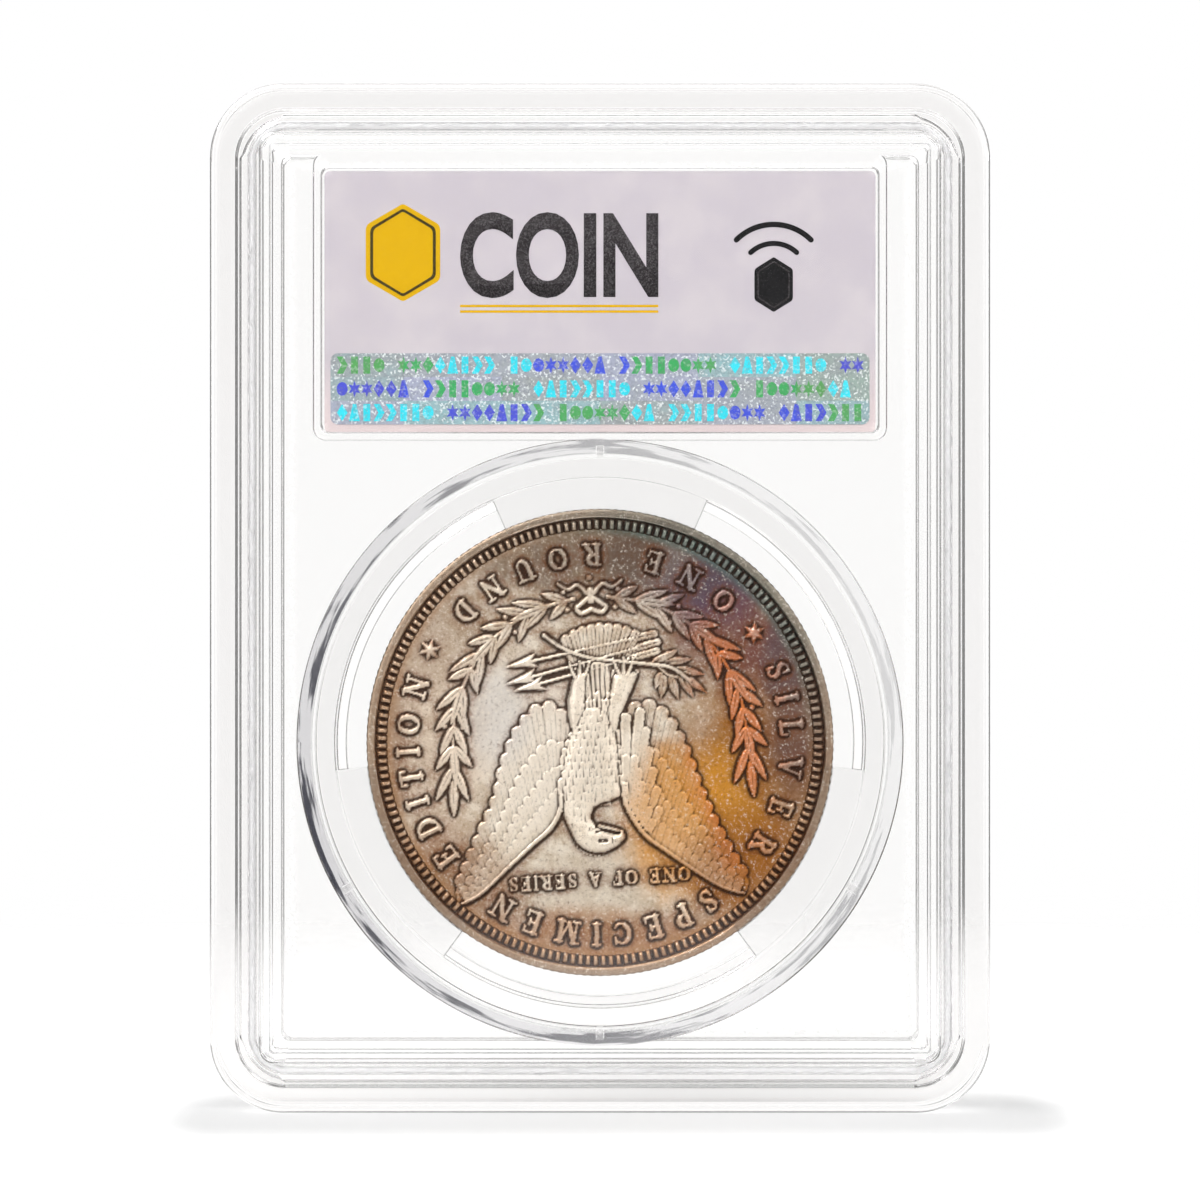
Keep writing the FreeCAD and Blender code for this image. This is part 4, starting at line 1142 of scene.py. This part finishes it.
def coinRim(finish):
    # rim, denticles and reeds in one ring; both sides share the same section
    c = coinShape
    samples = c["toothSamples"]
    count = c["teeth"] * samples
    phase = np.arange(count) % samples
    tooth = np.array([0.0, 0.45, 0.97, 1.0, 1.0, 0.97, 0.45, 0.0])[phase]
    reed = np.array([0.0, 0.0, 0.0, 0.3, 1.0, 1.0, 0.7, 0.1])[phase]
    draw = np.random.default_rng(5)
    worn = np.repeat(draw.uniform(0.86, 1.0, c["teeth"]), samples)
    angle = np.arange(count) * 2 * math.pi / count
    field = coinHalfDepth - c["fieldSink"]
    sink = c["fieldSink"]
    # radius, height above the field, how much of that height the teeth carry
    section = [
        (17.1, -0.2, 0.0), (17.3, -0.01, 0.0), (17.38, 0.0, 0.08), (17.44, 0.0, 0.18), (17.54, 0.0, 0.23),
        (17.68, 0.0, 0.25), (17.84, 0.0, 0.25), (17.98, 0.0, 0.24), (18.08, 0.0, 0.19),
        (18.16, 0.0, 0.07), (18.24, 0.03, 0.0), (18.32, 0.2, 0.0), (18.4, 0.3, 0.0), (18.5, sink, 0.0),
        (18.75, sink, 0.0), (18.9, sink - 0.01, 0.0), (18.99, sink - 0.05, 0.0)]
    loops, lines, crests = [], [], []
    for radius, base, share in section:
        level = field + base + share * tooth * worn
        loops.append((radius, level))
        # painted shade, partly patina: dark lines in the gaps between the teeth, along the foot and top of
        # the denticle band, and in the reeds
        ends = (0.6 * math.exp(-((radius - 17.34) / 0.07) ** 2)
                + 0.95 * math.exp(-((radius - 18.22) / 0.09) ** 2))
        lines.append(np.clip((1 - tooth) * 1.15 * min(1, share / 0.12) + ends, 0, 1))
        crests.append(np.full(count, base) + share * tooth)
    for level in (coinHalfDepth - 0.12, coinHalfDepth - 0.3, 0.0):
        loops.append((coinRadius - 0.02 - 0.12 * reed, np.full(count, level)))
        lines.append(reed * 0.9)
        crests.append((1 - reed) * 0.2)
    mirrored = [(radius, -level) for radius, level in reversed(loops[:-1])]
    rings = loops + mirrored
    lines += list(reversed(lines[:-1]))
    crests += list(reversed(crests[:-1]))
    verts = []
    for radius, level in rings:
        radius = radius * np.ones(count)
        verts += list(zip(radius * np.cos(angle), -level, coinHeight + radius * np.sin(angle)))
    faces = []
    for k in range(len(rings)):
        m = (k + 1) % len(rings)
        for n in range(count):
            p = (n + 1) % count
            faces.append((k * count + n, k * count + p, m * count + p, m * count + n))
    mesh = bpy.data.meshes.new("coinRim")
    mesh.from_pydata((np.array(verts) * mm).tolist(), [], faces)
    storeNumbers(mesh, "line", np.concatenate(lines))
    storeNumbers(mesh, "crest", np.concatenate(crests))
    storeNumbers(mesh, "glow", np.full(len(verts), 0.5))
    work = bmesh.new()
    work.from_mesh(mesh)
    bmesh.ops.recalc_face_normals(work, faces=work.faces)
    work.to_mesh(mesh)
    work.free()
    piece = bpy.data.objects.new("coinRim", mesh)
    bpy.context.scene.collection.objects.link(piece)
    dress(piece, finish, ("coin",))
    soften(piece, 50)
    print("coinRim", len(mesh.polygons), "faces")
    return piece


toningPatches = [
    # centre right and up from the coin's middle, reach of the patch, colour, strength
    ((-6.0, 0.5), (6.0, 7.0), (246, 235, 220), 0.8),
    ((-13.4, 0.5), (4.2, 9.0), (226, 206, 184), 0.65),
    ((-8.5, 2.0), (2.4, 3.6), (204, 207, 212), 0.35),
    ((0.5, -11.5), (7.0, 2.6), (222, 210, 192), 0.7),
    ((12.6, -2.5), (6.4, 10.0), (162, 104, 34), 0.92),
    ((7.6, -7.0), (5.2, 6.2), (220, 152, 54), 0.85),
    ((12.0, -10.5), (5.0, 4.5), (158, 98, 40), 0.85),
    ((2.0, -16.2), (12.0, 2.4), (172, 112, 54), 0.75),
    ((-12.0, -11.5), (5.0, 4.5), (150, 100, 56), 0.65),
    ((12.0, 9.5), (5.6, 5.2), (112, 62, 60), 0.9),
    ((9.0, 12.4), (4.0, 2.6), (92, 74, 104), 0.6),
    ((15.2, 6.6), (1.8, 3.6), (78, 84, 104), 0.6),
    ((16.0, 3.5), (2.6, 8.0), (104, 82, 80), 0.8),
    ((7.0, 14.8), (6.0, 3.2), (78, 72, 86), 0.75),
    ((-3.0, 15.6), (8.0, 2.8), (104, 84, 68), 0.8),
    ((-12.5, 10.0), (4.0, 4.4), (146, 116, 90), 0.4),
    ((-17.2, -1.0), (1.2, 8.0), (150, 108, 72), 0.5),
]
leafPatch = ((11.0, 1.5), (3.4, 9.0), (214, 112, 38), 0.85)


def tonedSilver(name, mirrored):
    finish = Finish(name, Metallic=1.0)
    spot = finish.place()
    x, _, z = finish.axes(spot)
    u = x * (-1.0 if mirrored else 1.0)
    v = z - coinHeight
    cloud = finish.noise(spot, 0.16, 4.0, 0.62) - 0.5
    mottle = finish.noise(spot, 0.7, 5.0, 0.72)
    marks = finish.noise(spot, 2.4, 4.0, 0.8)
    grain = finish.noise(spot, 3.8, 4.0, 0.75)
    radiusSquared = u * u + v * v
    radius = radiusSquared.maths("SQRT", radiusSquared)
    line = finish.kept("line")
    crest = finish.kept("crest")
    glow = finish.kept("glow")
    colour = finish.blend(mottle.rise(0.36, 0.66), shade(198, 178, 152), shade(238, 227, 210))
    # worn high spots stay silver under the toning, and a little over it; the lighter crests are also a
    # painted highlight
    worn = crest.rise(0.06, 0.2) * (0.4 + 0.6 * mottle)
    colour = finish.blend((worn * 0.8).held(), colour, shade(250, 238, 220))
    for (cu, cv), (ru, rv), tint, strength in [*toningPatches, leafPatch]:
        away = ((u - cu) / ru) ** 2 + ((v - cv) / rv) ** 2 + cloud * 3.4
        share = (1 - away.rise(0.1, 2.1)) * strength * (0.5 + mottle * 0.5 + marks * 0.5)
        if tint == leafPatch[2]:
            share = share * crest.rise(0.01, 0.06)
        colour = finish.blend(share.held(), colour, shade(*tint))
    # painted highlight on the crests over the toning, partly worn silver
    colour = finish.blend((worn * 0.3).held(), colour, shade(246, 232, 212))
    # rust gathers in specks along the edges of the devices
    rust = 0.04 + 0.8 * glow.rise(0.1, 0.65) + 0.15 * radius.rise(13.0, 16.5)
    rust = rust * (0.25 + 0.75 * marks.rise(0.4, 0.6)) * (1 - 0.75 * crest.rise(0.07, 0.14))
    colour = finish.blend((rust * 0.75).held(), colour, shade(126, 74, 42))
    # the outer ring takes stronger colours, teal towards the top and right
    outer = radius.rise(16.6, 17.4)
    turn = v.maths("ARCTAN2", v, u) + cloud * 1.2
    teal = outer * turn.hump(0.95, 0.85) * (0.35 + mottle)
    colour = finish.blend((teal * 0.8).held(), colour, shade(92, 118, 112))
    amber = outer * (1 - turn.hump(0.95, 1.3)) * (0.2 + mottle)
    colour = finish.blend((amber * 0.8).held(), colour, shade(164, 112, 60))
    rimTop = radius.rise(18.3, 18.5)
    colour = finish.blend((rimTop * 0.55).held(), colour, shade(146, 130, 114))
    specks = grain.rise(0.54, 0.68) * 0.55 * (0.4 + mottle)
    colour = finish.blend(specks.held(), colour, shade(104, 72, 50))
    glints = (1 - grain).rise(0.55, 0.68) * 0.6
    colour = finish.blend(glints.held(), colour, shade(248, 238, 222))
    # painted shade, partly patina: creases, tooth gaps and the feet of steep slopes turn dark brown, and
    # rougher
    dark = (line * 0.92).held()
    colour = finish.blend(dark, colour, shade(52, 32, 22))
    finish.feed("Base Color", colour)
    finish.feed("Roughness", (0.27 + 0.12 * mottle + 0.3 * dark).held())
    finish.bump(grain * 0.6 + marks * 0.4, 0.8, 0.035 * mm)
    return finish


def slabOf(name, outline, near, far, finish):
    # a flat sheet with the given outline in X-Z, from one level to another
    loops = [[(x, near, z) for x, z in outline], [(x, far, z) for x, z in outline]]
    verts, faces = loftLoops(loops)
    piece = newPiece(name, verts, faces, finish, smoothAngle=30)
    turnOutward(piece)


def turnOutward(piece):
    work = bmesh.new()
    work.from_mesh(piece.data)
    bmesh.ops.remove_doubles(work, verts=work.verts, dist=1e-8)
    bmesh.ops.recalc_face_normals(work, faces=work.faces)
    work.to_mesh(piece.data)
    work.free()


def labelCard(name, pink):
    finish = Finish(name, Specular_IOR_Level=0.2)
    spot = finish.place()
    _, _, z = finish.axes(spot)
    fibre = finish.noise(spot, 7.0, 4.0, 0.7)
    cloud = finish.noise(spot, 0.22, 3.0, 0.6)
    colour = finish.blend(cloud.rise(0.35, 0.7), shade(199, 192, 200), shade(208, 201, 206))
    low = 1 - z.rise(55.0, 63.0)
    colour = finish.blend((low * pink).held(), colour, shade(236, 214, 210))
    colour = finish.blend(fibre.rise(0.5, 0.85) * 0.3, colour, shade(190, 184, 194))
    finish.feed("Base Color", colour)
    finish.feed("Roughness", 0.62 + 0.2 * fibre)
    finish.bump(fibre, 0.25, 0.02 * mm)
    return finish


def inked(name, tint, gloss, speck):
    # printed ink: slightly mottled, with pinholes where the card shows through
    finish = Finish(name, Specular_IOR_Level=0.12)
    spot = finish.place()
    grain = finish.noise(spot, 6.5, 4.0, 0.8)
    wide = finish.noise(spot, 0.8, 3.0, 0.6)
    light = tuple(min(255, c + speck) for c in tint)
    colour = finish.blend(grain.rise(0.42, 0.72), shade(*tint), shade(*light))
    colour = finish.blend(wide.rise(0.45, 0.8) * 0.25, colour, shade(*light))
    finish.feed("Base Color", colour)
    finish.feed("Roughness", gloss + 0.15 * grain)
    finish.bump(grain, 0.2, 0.01 * mm)
    return finish


def foil(name, base, tints, metal, sparkle):
    # diffraction foil: tiny facets, each with its own tilt, and blocks of tint
    finish = Finish(name, Metallic=metal)
    spot = finish.place()
    facet = finish.make("TexVoronoi", {"feature": "F1"}, {"Vector": spot, "Scale": 6.0}, "Color")
    red, green, blue = (finish.make("SeparateColor", {}, {"Color": facet}, part)
                        for part in ("Red", "Green", "Blue"))
    low, high = (corner[2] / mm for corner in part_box("hologram_strip"))
    block = (stripPlan["pitch"] * stripPlan["blockLength"], 50.0, (high - low) / stripPlan["rows"])
    shifted = finish.make("VectorMath", {"operation": "SUBTRACT"}, {0: spot, 1: (0.0, 0.0, low)})
    snapped = finish.make("VectorMath", {"operation": "SNAP"}, {0: shifted, 1: block})
    draw = finish.make("TexWhiteNoise", {"noise_dimensions": "3D"}, {"Vector": snapped}, "Value")
    drift = finish.noise(spot, 0.5, 3.0, 0.6)
    stops = [(n / (len(tints) - 1), shade(*tint)) for n, tint in enumerate(tints)]
    tone = finish.make("ValToRGB", {"stops": stops}, {"Fac": draw * 0.8 + drift * 0.3}, "Color")
    colour = finish.blend(0.3 + 0.6 * drift, shade(*base), tone)
    # painted reflections of the facets: some cells darker, some bright as painted sparkle
    colour = finish.blend(red.rise(0.55, 0.9) * 0.3, colour, shade(120, 124, 128))
    colour = finish.blend(green.rise(0.72, 0.95) * sparkle, colour, shade(240, 246, 246))
    finish.feed("Base Color", colour)
    finish.feed("Roughness", 0.3 + 0.25 * blue)
    finish.bump(red, 0.4, 0.02 * mm)
    return finish


def scaledOutline(points, centre, half):
    return [(centre[0] + x * half[0], centre[1] + z * half[1]) for x, z in points]


def hexagon(steps=5, ease=0.16):
    # a tall hexagon with eased corners, one unit each way from its middle
    corners = [(0.0, -1.0), (0.98, -0.56), (0.98, 0.56), (0.0, 1.0), (-0.98, 0.56), (-0.98, -0.56)]
    line = []
    for n in range(6):
        line += arcSteps(corners[n], corners[n - 1], corners[(n + 1) % 6], ease, steps)
    return [tuple(p) for p in line]


def bandBetween(name, outer, inner, near, far, finish):
    # a flat frame between two outlines of equal length
    loops = [[(x, y, z) for x, z in outline]
             for outline, y in ((outer, near), (inner, near), (inner, far), (outer, far))]
    verts, faces = loftLoops(loops, closed=True)
    piece = newPiece(name, verts, faces, finish)
    turnOutward(piece)


def printedWord(name, word, left, right, low, high, level, side, finish, boldness=0.012):
    # plain capitals, stretched to fill a box on the label
    letters = bpy.data.curves.new(name, "FONT")
    letters.body = word
    letters.size = 1.0
    letters.offset = boldness
    letters.resolution_u = 6
    holder = bpy.data.objects.new(name + "Letters", letters)
    bpy.context.scene.collection.objects.link(holder)
    depsgraph = bpy.context.evaluated_depsgraph_get()
    flat = bpy.data.meshes.new_from_object(holder.evaluated_get(depsgraph))
    bpy.data.objects.remove(holder)
    points = np.array([v.co[:2] for v in flat.vertices])
    low2, high2 = points.min(axis=0), points.max(axis=0)
    scale = ((right - left) / (high2[0] - low2[0]), (high - low) / (high2[1] - low2[1]))
    for vert, (px, py) in zip(flat.vertices, points):
        across = (px - low2[0]) * scale[0]
        x = left + across if side < 0 else right - across
        vert.co = (x * mm, level * mm, (low + (py - low2[1]) * scale[1]) * mm)
    flat.name = name
    piece = bpy.data.objects.new(name, flat)
    bpy.context.scene.collection.objects.link(piece)
    work = bmesh.new()
    work.from_mesh(flat)
    bmesh.ops.remove_doubles(work, verts=work.verts, dist=1e-8)
    grown = bmesh.ops.extrude_face_region(work, geom=list(work.faces))["geom"]
    for item in grown:
        if isinstance(item, bmesh.types.BMVert):
            item.co.y += side * 0.02 * mm
    bmesh.ops.recalc_face_normals(work, faces=work.faces)
    work.to_mesh(flat)
    work.free()
    dress(piece, finish)


def arcBand(name, centre, radius, width, start, end, near, far, finish):
    # a bent bar with round ends, for the radio waves
    loop = []
    for a in np.radians(np.linspace(start, end, 24)):
        loop.append((centre[0] + (radius + width / 2) * math.cos(a),
                     centre[1] + (radius + width / 2) * math.sin(a)))
    tip = math.radians(end)
    mid = (centre[0] + radius * math.cos(tip), centre[1] + radius * math.sin(tip))
    for a in np.linspace(0, math.pi, 7)[1:-1]:
        loop.append((mid[0] + width / 2 * math.cos(tip + a), mid[1] + width / 2 * math.sin(tip + a)))
    for a in np.radians(np.linspace(end, start, 24)):
        loop.append((centre[0] + (radius - width / 2) * math.cos(a),
                     centre[1] + (radius - width / 2) * math.sin(a)))
    tip = math.radians(start)
    mid = (centre[0] + radius * math.cos(tip), centre[1] + radius * math.sin(tip))
    for a in np.linspace(math.pi, 2 * math.pi, 7)[1:-1]:
        loop.append((mid[0] + width / 2 * math.cos(tip + a), mid[1] + width / 2 * math.sin(tip + a)))
    slabOf(name, loop, near, far, finish)


glyphShapes = {
    "diamond": [(0, -1), (0.8, 0), (0, 1), (-0.8, 0)],
    "star": [(math.sin(k * math.pi / 6) * (1.0 if k % 2 == 0 else 0.45),
              math.cos(k * math.pi / 6) * (1.0 if k % 2 == 0 else 0.45)) for k in range(12)],
    "bar": [(-0.5, -1), (0.5, -1), (0.5, 1), (-0.5, 1)],
    "wedge": [(-0.8, -1), (0.8, -1), (0.25, 1), (-0.25, 1)],
    "chevron": [(-0.8, -1), (0.1, -1), (0.8, 0.0), (0.1, 1), (-0.8, 1), (-0.1, 0.0)],
    "round": [(0.8 * math.cos(a), 0.8 * math.sin(a)) for a in np.linspace(0, 2 * math.pi, 17)[:-1]],
}

stripPlan = {
    "rows": 3,
    "pitch": 1.0,
    "glyphHalfHeight": 0.7,
    "blockLength": 8,
    "order": ("diamond", "bar", "star", "chevron", "round", "wedge", "bar", "diamond",
              "chevron", "star", "bar", "round"),
}


def stripPrint(low, high, level, finishes):
    # rows of small plain shapes; the tint changes from block to block
    p = stripPlan
    rowHeight = (high[2] - low[2]) / mm / p["rows"]
    count = int((high[0] - low[0]) / mm / p["pitch"])
    left = -count * p["pitch"] / 2
    meshes = [([], []) for _ in finishes]
    for row in range(p["rows"]):
        centreZ = low[2] / mm + rowHeight * (row + 0.5)
        for n in range(count):
            if (n + 2 * row) % 9 == 8:
                continue
            shape = glyphShapes[p["order"][(n * 5 + row * 4) % len(p["order"])]]
            tint = (n // p["blockLength"] + row) % len(finishes)
            verts, faces = meshes[tint]
            centreX = left + p["pitch"] * (n + 0.5)
            half = p["glyphHalfHeight"]
            start = len(verts)
            size = len(shape)
            for lift in (0.0, 0.012):
                verts += [(centreX + x * half * 0.8, level - lift, centreZ + z * half) for x, z in shape]
            faces.append(tuple(start + k for k in reversed(range(size))))
            faces.append(tuple(start + size + k for k in range(size)))
            faces += [(start + k, start + (k + 1) % size, start + size + (k + 1) % size, start + size + k)
                      for k in range(size)]
    for tint, ((verts, faces), finish) in enumerate(zip(meshes, finishes)):
        piece = newPiece(f"stripPrint{tint + 1}", verts, faces, finish)
        turnOutward(piece)


def coat(node, finish):
    # gives a CAD piece its finish
    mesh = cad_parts[node].data
    mesh.materials.clear()
    mesh.materials.append(finish.material)


card = labelCard("labelCard", 0.55)
cardFront = labelCard("labelCardFront", 0.0)
charcoal = inked("charcoalInk", (40, 36, 38), 0.46, 64)
black = inked("blackInk", (18, 17, 19), 0.36, 26)
gold = inked("goldInk", (216, 170, 0), 0.42, 10)
darkGold = inked("darkGoldInk", (62, 52, 20), 0.42, 24)
stripSilver = foil("stripSilver", (164, 170, 172), (
    (168, 174, 176), (176, 180, 214), (164, 170, 170), (148, 200, 208), (160, 164, 168), (156, 188, 170)),
    0.45, 0.8)
stripInks = [
    foil("stripCyan", (0, 214, 232), ((0, 216, 234), (70, 226, 240)), 0.0, 0.3),
    foil("stripBlue", (52, 74, 214), ((40, 84, 228), (84, 70, 186)), 0.0, 0.2),
    foil("stripGreen", (40, 162, 92), ((30, 178, 96), (104, 158, 78)), 0.0, 0.2),
]

labelPlan = {
    "emblemCentre": (-16.05, 69.9),
    "emblemHalf": (3.1, 4.0),
    "wordLeft": -11.4,
    "wordRight": 4.75,
    "wordLow": 66.2,
    "wordHigh": 73.2,
    "badgeCentre": (14.15, 67.3),
    "badgeHalf": (1.6, 2.25),
    "waveCentre": (14.15, 67.9),
}


def backPrint():
    p = labelPlan
    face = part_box("back_label")[0][1] / mm
    cx, cz = p["emblemCentre"]
    outline = hexagon()
    w, h = p["emblemHalf"]
    slabOf("emblem", scaledOutline(outline, (cx, cz), (w, h)), face - 0.012, face, gold)
    bandBetween("emblemLine", scaledOutline(outline, (cx, cz), (w * 0.88, h * 0.9)),
                scaledOutline(outline, (cx, cz), (w * 0.8, h * 0.84)),
                face - 0.026, face - 0.012, darkGold)
    printedWord("labelWord", "COIN", p["wordLeft"], p["wordRight"], p["wordLow"], p["wordHigh"],
                face, -1, charcoal, 0.03)
    for number, level in enumerate((65.45, 65.0)):
        slabOf(f"wordRule{number + 1}", [(p["wordLeft"], level), (p["wordRight"], level),
                                         (p["wordRight"], level + 0.2), (p["wordLeft"], level + 0.2)],
               face - 0.012, face, gold)
    bx, bz = p["badgeCentre"]
    w, h = p["badgeHalf"]
    slabOf("badge", scaledOutline(outline, (bx, bz), (w, h)), face - 0.015, face, black)
    bandBetween("badgeLine", scaledOutline(outline, (bx, bz), (w * 0.84, h * 0.86)),
                scaledOutline(outline, (bx, bz), (w * 0.76, h * 0.8)),
                face - 0.02, face - 0.015, charcoal)
    for number, (radius, half, width) in enumerate(((2.75, 43, 0.42), (4.3, 45, 0.45))):
        arcBand(f"radioWave{number + 1}", p["waveCentre"], radius, width, 90 - half, 90 + half,
                face - 0.015, face, black)


frontPlan = {
    "emblemCentre": (17.0, 69.6),
    "emblemHalves": ((2.7, 3.5), (2.4, 3.1), (2.2, 2.9)),
    # name, text, left, right, low, high, boldness
    "words": (("frontWord", "COIN", 2.0, 12.6, 70.4, 73.4, 0.03),
              ("frontGrade", "64", -16.6, -9.0, 68.2, 73.4, 0.02),
              ("frontSeries", "SERIES 0000", 0.2, 12.6, 66.6, 68.8, 0.01),
              ("frontNumber", "0000 0000 00", -6.0, 12.6, 62.8, 64.8, 0.01)),
    "barLeft": -17.6,
    "barRight": 17.2,
    "barLow": 57.2,
    "barHigh": 60.6,
    "barWidths": (0.22, 0.22, 0.44, 0.66),
    "barGaps": (0.24, 0.24, 0.46),
}


def frontPrint():
    # a plain layout: an emblem, numbers and a pattern of bars
    p = frontPlan
    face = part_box("front_label")[1][1] / mm
    whole, outer, inner = (scaledOutline(hexagon(), p["emblemCentre"], half) for half in p["emblemHalves"])
    slabOf("frontEmblem", whole, face, face + 0.012, gold)
    bandBetween("frontEmblemLine", outer, inner, face + 0.012, face + 0.024, darkGold)
    for name, word, left, right, low, high, boldness in p["words"]:
        printedWord(name, word, left, right, low, high, face, 1, charcoal, boldness)
    draw = np.random.default_rng(12)
    verts, faces = [], []
    x, low, high = p["barLeft"], p["barLow"], p["barHigh"]
    while x < p["barRight"]:
        width = draw.choice(p["barWidths"])
        start = len(verts)
        for y in (face, face + 0.012):
            verts += [(x, y, low), (x + width, y, low), (x + width, y, high), (x, y, high)]
        faces += [(start, start + 1, start + 2, start + 3), (start + 7, start + 6, start + 5, start + 4)]
        faces += [(start + k, start + 4 + k, start + 4 + (k + 1) % 4, start + (k + 1) % 4) for k in range(4)]
        x += width + draw.choice(p["barGaps"])
    bars = newPiece("frontBars", verts, faces, black)
    turnOutward(bars)


def tagFinishes():
    film = Finish("tagFilm", Base_Color=shade(226, 222, 210), Roughness=0.25, IOR=1.6)
    spot = film.place()
    film.feed("Base Color", film.blend(film.noise(spot, 1.5), shade(232, 228, 216), shade(214, 208, 192)))
    film.bump(film.noise(spot, 6.0), 0.2, 0.01 * mm)
    coat("tag_film", film)
    metal = Finish("tagMetal", Metallic=1.0, Roughness=0.32)
    spot = metal.place()
    drawn = metal.make("VectorMath", {"operation": "MULTIPLY"}, {0: spot, 1: (1, 1, 12)})
    grain = metal.noise(drawn, 2.0, 4.0)
    metal.feed("Base Color", metal.blend(grain, shade(214, 214, 216), shade(176, 178, 184)))
    metal.feed("Roughness", 0.22 + 0.2 * grain)
    metal.bump(grain, 0.3, 0.01 * mm)
    coat("tag_antenna", metal)
    chip = Finish("tagChip", Specular_IOR_Level=0.4)
    spot = chip.place()
    pits = chip.noise(spot, 14.0, 3.0, 0.7)
    chip.feed("Base Color", chip.blend(pits.rise(0.5, 0.8), shade(26, 26, 28), shade(54, 54, 58)))
    chip.feed("Roughness", 0.45 + 0.25 * pits)
    chip.bump(pits, 0.4, 0.01 * mm)
    coat("tag_chip", chip)


coat("back_label", card)
coat("front_label", cardFront)
coat("hologram_strip", stripSilver)
tagFinishes()
backPrint()
frontPrint()
stripLow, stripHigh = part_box("hologram_strip")
stripPrint(stripLow, stripHigh, stripLow[1] / mm, stripInks)
print("labels done")

reverseFinish = tonedSilver("tonedSilverReverse", False)
obverseFinish = tonedSilver("tonedSilverObverse", True)
facePiece("coinReverse", reverseRelief(), coinShape["reverseTurn"], -1, reverseFinish)
facePiece("coinObverse", obverseRelief(), coinShape["obverseTurn"], 1, obverseFinish)
coinRim(reverseFinish)

shellPlastic = clearPlastic("shellPlastic", (0.986, 0.983, 0.979), (0.956, 0.95, 0.946), 0.02, 1.0)
ringPlastic = clearPlastic("ringPlastic", (0.985, 0.98, 0.978), (0.985, 0.98, 0.978), 0.03, 0.3)
lightThrough(shellPlastic)
lightThrough(ringPlastic)
makeShell("slabBack", "back_shell", -1, shellPlastic)
makeShell("slabFront", "front_shell", 1, shellPlastic)
makeRing(ringPlastic)

frost = Finish("seamFrost", Base_Color=(0.94, 0.94, 0.95), Roughness=0.45, IOR=1.3, Transmission_Weight=0.85)
frostSpot = frost.place()
lumps = frost.noise(frostSpot, 2.4, 4.0, 0.75)
frost.feed("Roughness", 0.3 + 0.5 * lumps)
frost.bump(lumps, 0.6, 0.1 * mm)
lightThrough(frost)
weldSeam(frost)
print("plastic done")


def areaLight(name, spot, target, width, height, power):
    light = bpy.data.lights.new(name, "AREA")
    light.shape = "RECTANGLE"
    light.size, light.size_y = width, height
    light.energy = power
    lamp = bpy.data.objects.new(name, light)
    bpy.context.scene.collection.objects.link(lamp)
    lamp.location = spot
    lamp.rotation_euler = (Vector(target) - Vector(spot)).to_track_quat("-Z", "Y").to_euler()


floorFinish = Finish("paleFloor", Roughness=0.75, Specular_IOR_Level=0.15)
floorSpot = floorFinish.place()
floorX, floorY, _ = floorFinish.axes(floorSpot)
floorFinish.feed("Base Color", floorFinish.blend(floorFinish.noise(floorSpot, 0.02), (0.92, 0.92, 0.92),
                                                 (0.94, 0.94, 0.94)))
away = floorX * floorX + floorY * floorY
# painted shadow: the floor's even glow is darkened close to the slab's foot
footX = ((abs(floorX - 1.5) - slabHalfWidth) / 5.0).most(0.0)
footY = ((abs(floorY + 5.0) - slabHalfDepth) / 17.0).most(0.0)
paintedShadow = (footX * footX + footY * footY).hump(0.0, 1.0)
floorFinish.feed("Emission Color", floorFinish.blend(paintedShadow, (1.0, 1.0, 1.0), (0.03, 0.03, 0.03)))
floorFinish.feed("Emission Strength", 0.36)
floorFinish.feed("Alpha", 1 - away.maths("SQRT", away).rise(110.0, 380.0))
floorMesh = bpy.data.meshes.new("floor")
floorReach = 0.4
floorMesh.from_pydata([(-floorReach, -floorReach, 0), (floorReach, -floorReach, 0),
                       (floorReach, floorReach, 0), (-floorReach, floorReach, 0)], [], [(0, 1, 2, 3)])
floorMesh.materials.append(floorFinish.material)
floor = bpy.data.objects.new("floor", floorMesh)
bpy.context.scene.collection.objects.link(floor)

scene = bpy.context.scene
world = bpy.data.worlds.new("softStudio")
world.use_nodes = True
scene.world = world
tree = world.node_tree
background = tree.nodes["Background"]


def worldNode(kind, settings=(), inputs=(), output=0):
    node = tree.nodes.new("ShaderNode" + kind)
    for name, value in dict(settings).items():
        setattr(node, name, value)
    for name, value in dict(inputs).items():
        plug(tree, node.inputs[name], value)
    return Wire(tree, node.outputs[output])


heading = worldNode("TexCoord", output="Generated")
across, along = [worldNode("SeparateXYZ", inputs={"Vector": heading}, output=axis) for axis in "XY"]
facing = along * along
behind = along.maths("GREATER_THAN", along, 0.0)
# bright behind the slab; in front a bright ring round a dim middle, so the flat windows stay clear
backGlow = facing.rise(0.72, 0.95) * 0.92
frontGlow = facing.rise(0.55, 0.85) * 1.6 * (1 - facing.rise(0.945, 0.985))
dim = (1 - behind) * facing.rise(0.945, 0.985) * 0.8
sideGlow = (across * across).rise(0.8, 0.97) * 0.3
glow = 0.24 * (1 - dim) + behind * backGlow + (1 - behind) * frontGlow + sideGlow
seen = worldNode("LightPath", output="Is Camera Ray")
plug(tree, background.inputs["Strength"], seen + (1 - seen) * glow)
plug(tree, background.inputs["Color"], (1.0, 1.0, 1.0, 1))

middle = (0, 0, slabHeight * mm / 2)
areaLight("overheadSoft", (-0.15, -0.2, 0.75), middle, 0.7, 0.5, 2.9)
areaLight("frontSoft", (-0.35, -0.8, 0.55), middle, 0.36, 0.3, 2.15)
areaLight("sideSoft", (0.6, -0.6, 0.3), middle, 0.24, 0.3, 0.9)
areaLight("backSoft", (0.35, 0.8, 0.55), middle, 0.4, 0.4, 0.6)

cameraData = bpy.data.cameras.new("camera")
distance = 0.5
frameHeight = 0.098
cameraData.sensor_width = 36
cameraData.lens = 36 * distance / frameHeight
camera = bpy.data.objects.new("camera", cameraData)
scene.collection.objects.link(camera)
camera.location = (0, -distance, 0.0416)
camera.rotation_euler = (math.pi / 2, 0, 0)
scene.camera = camera
scene.view_settings.view_transform = "Standard"
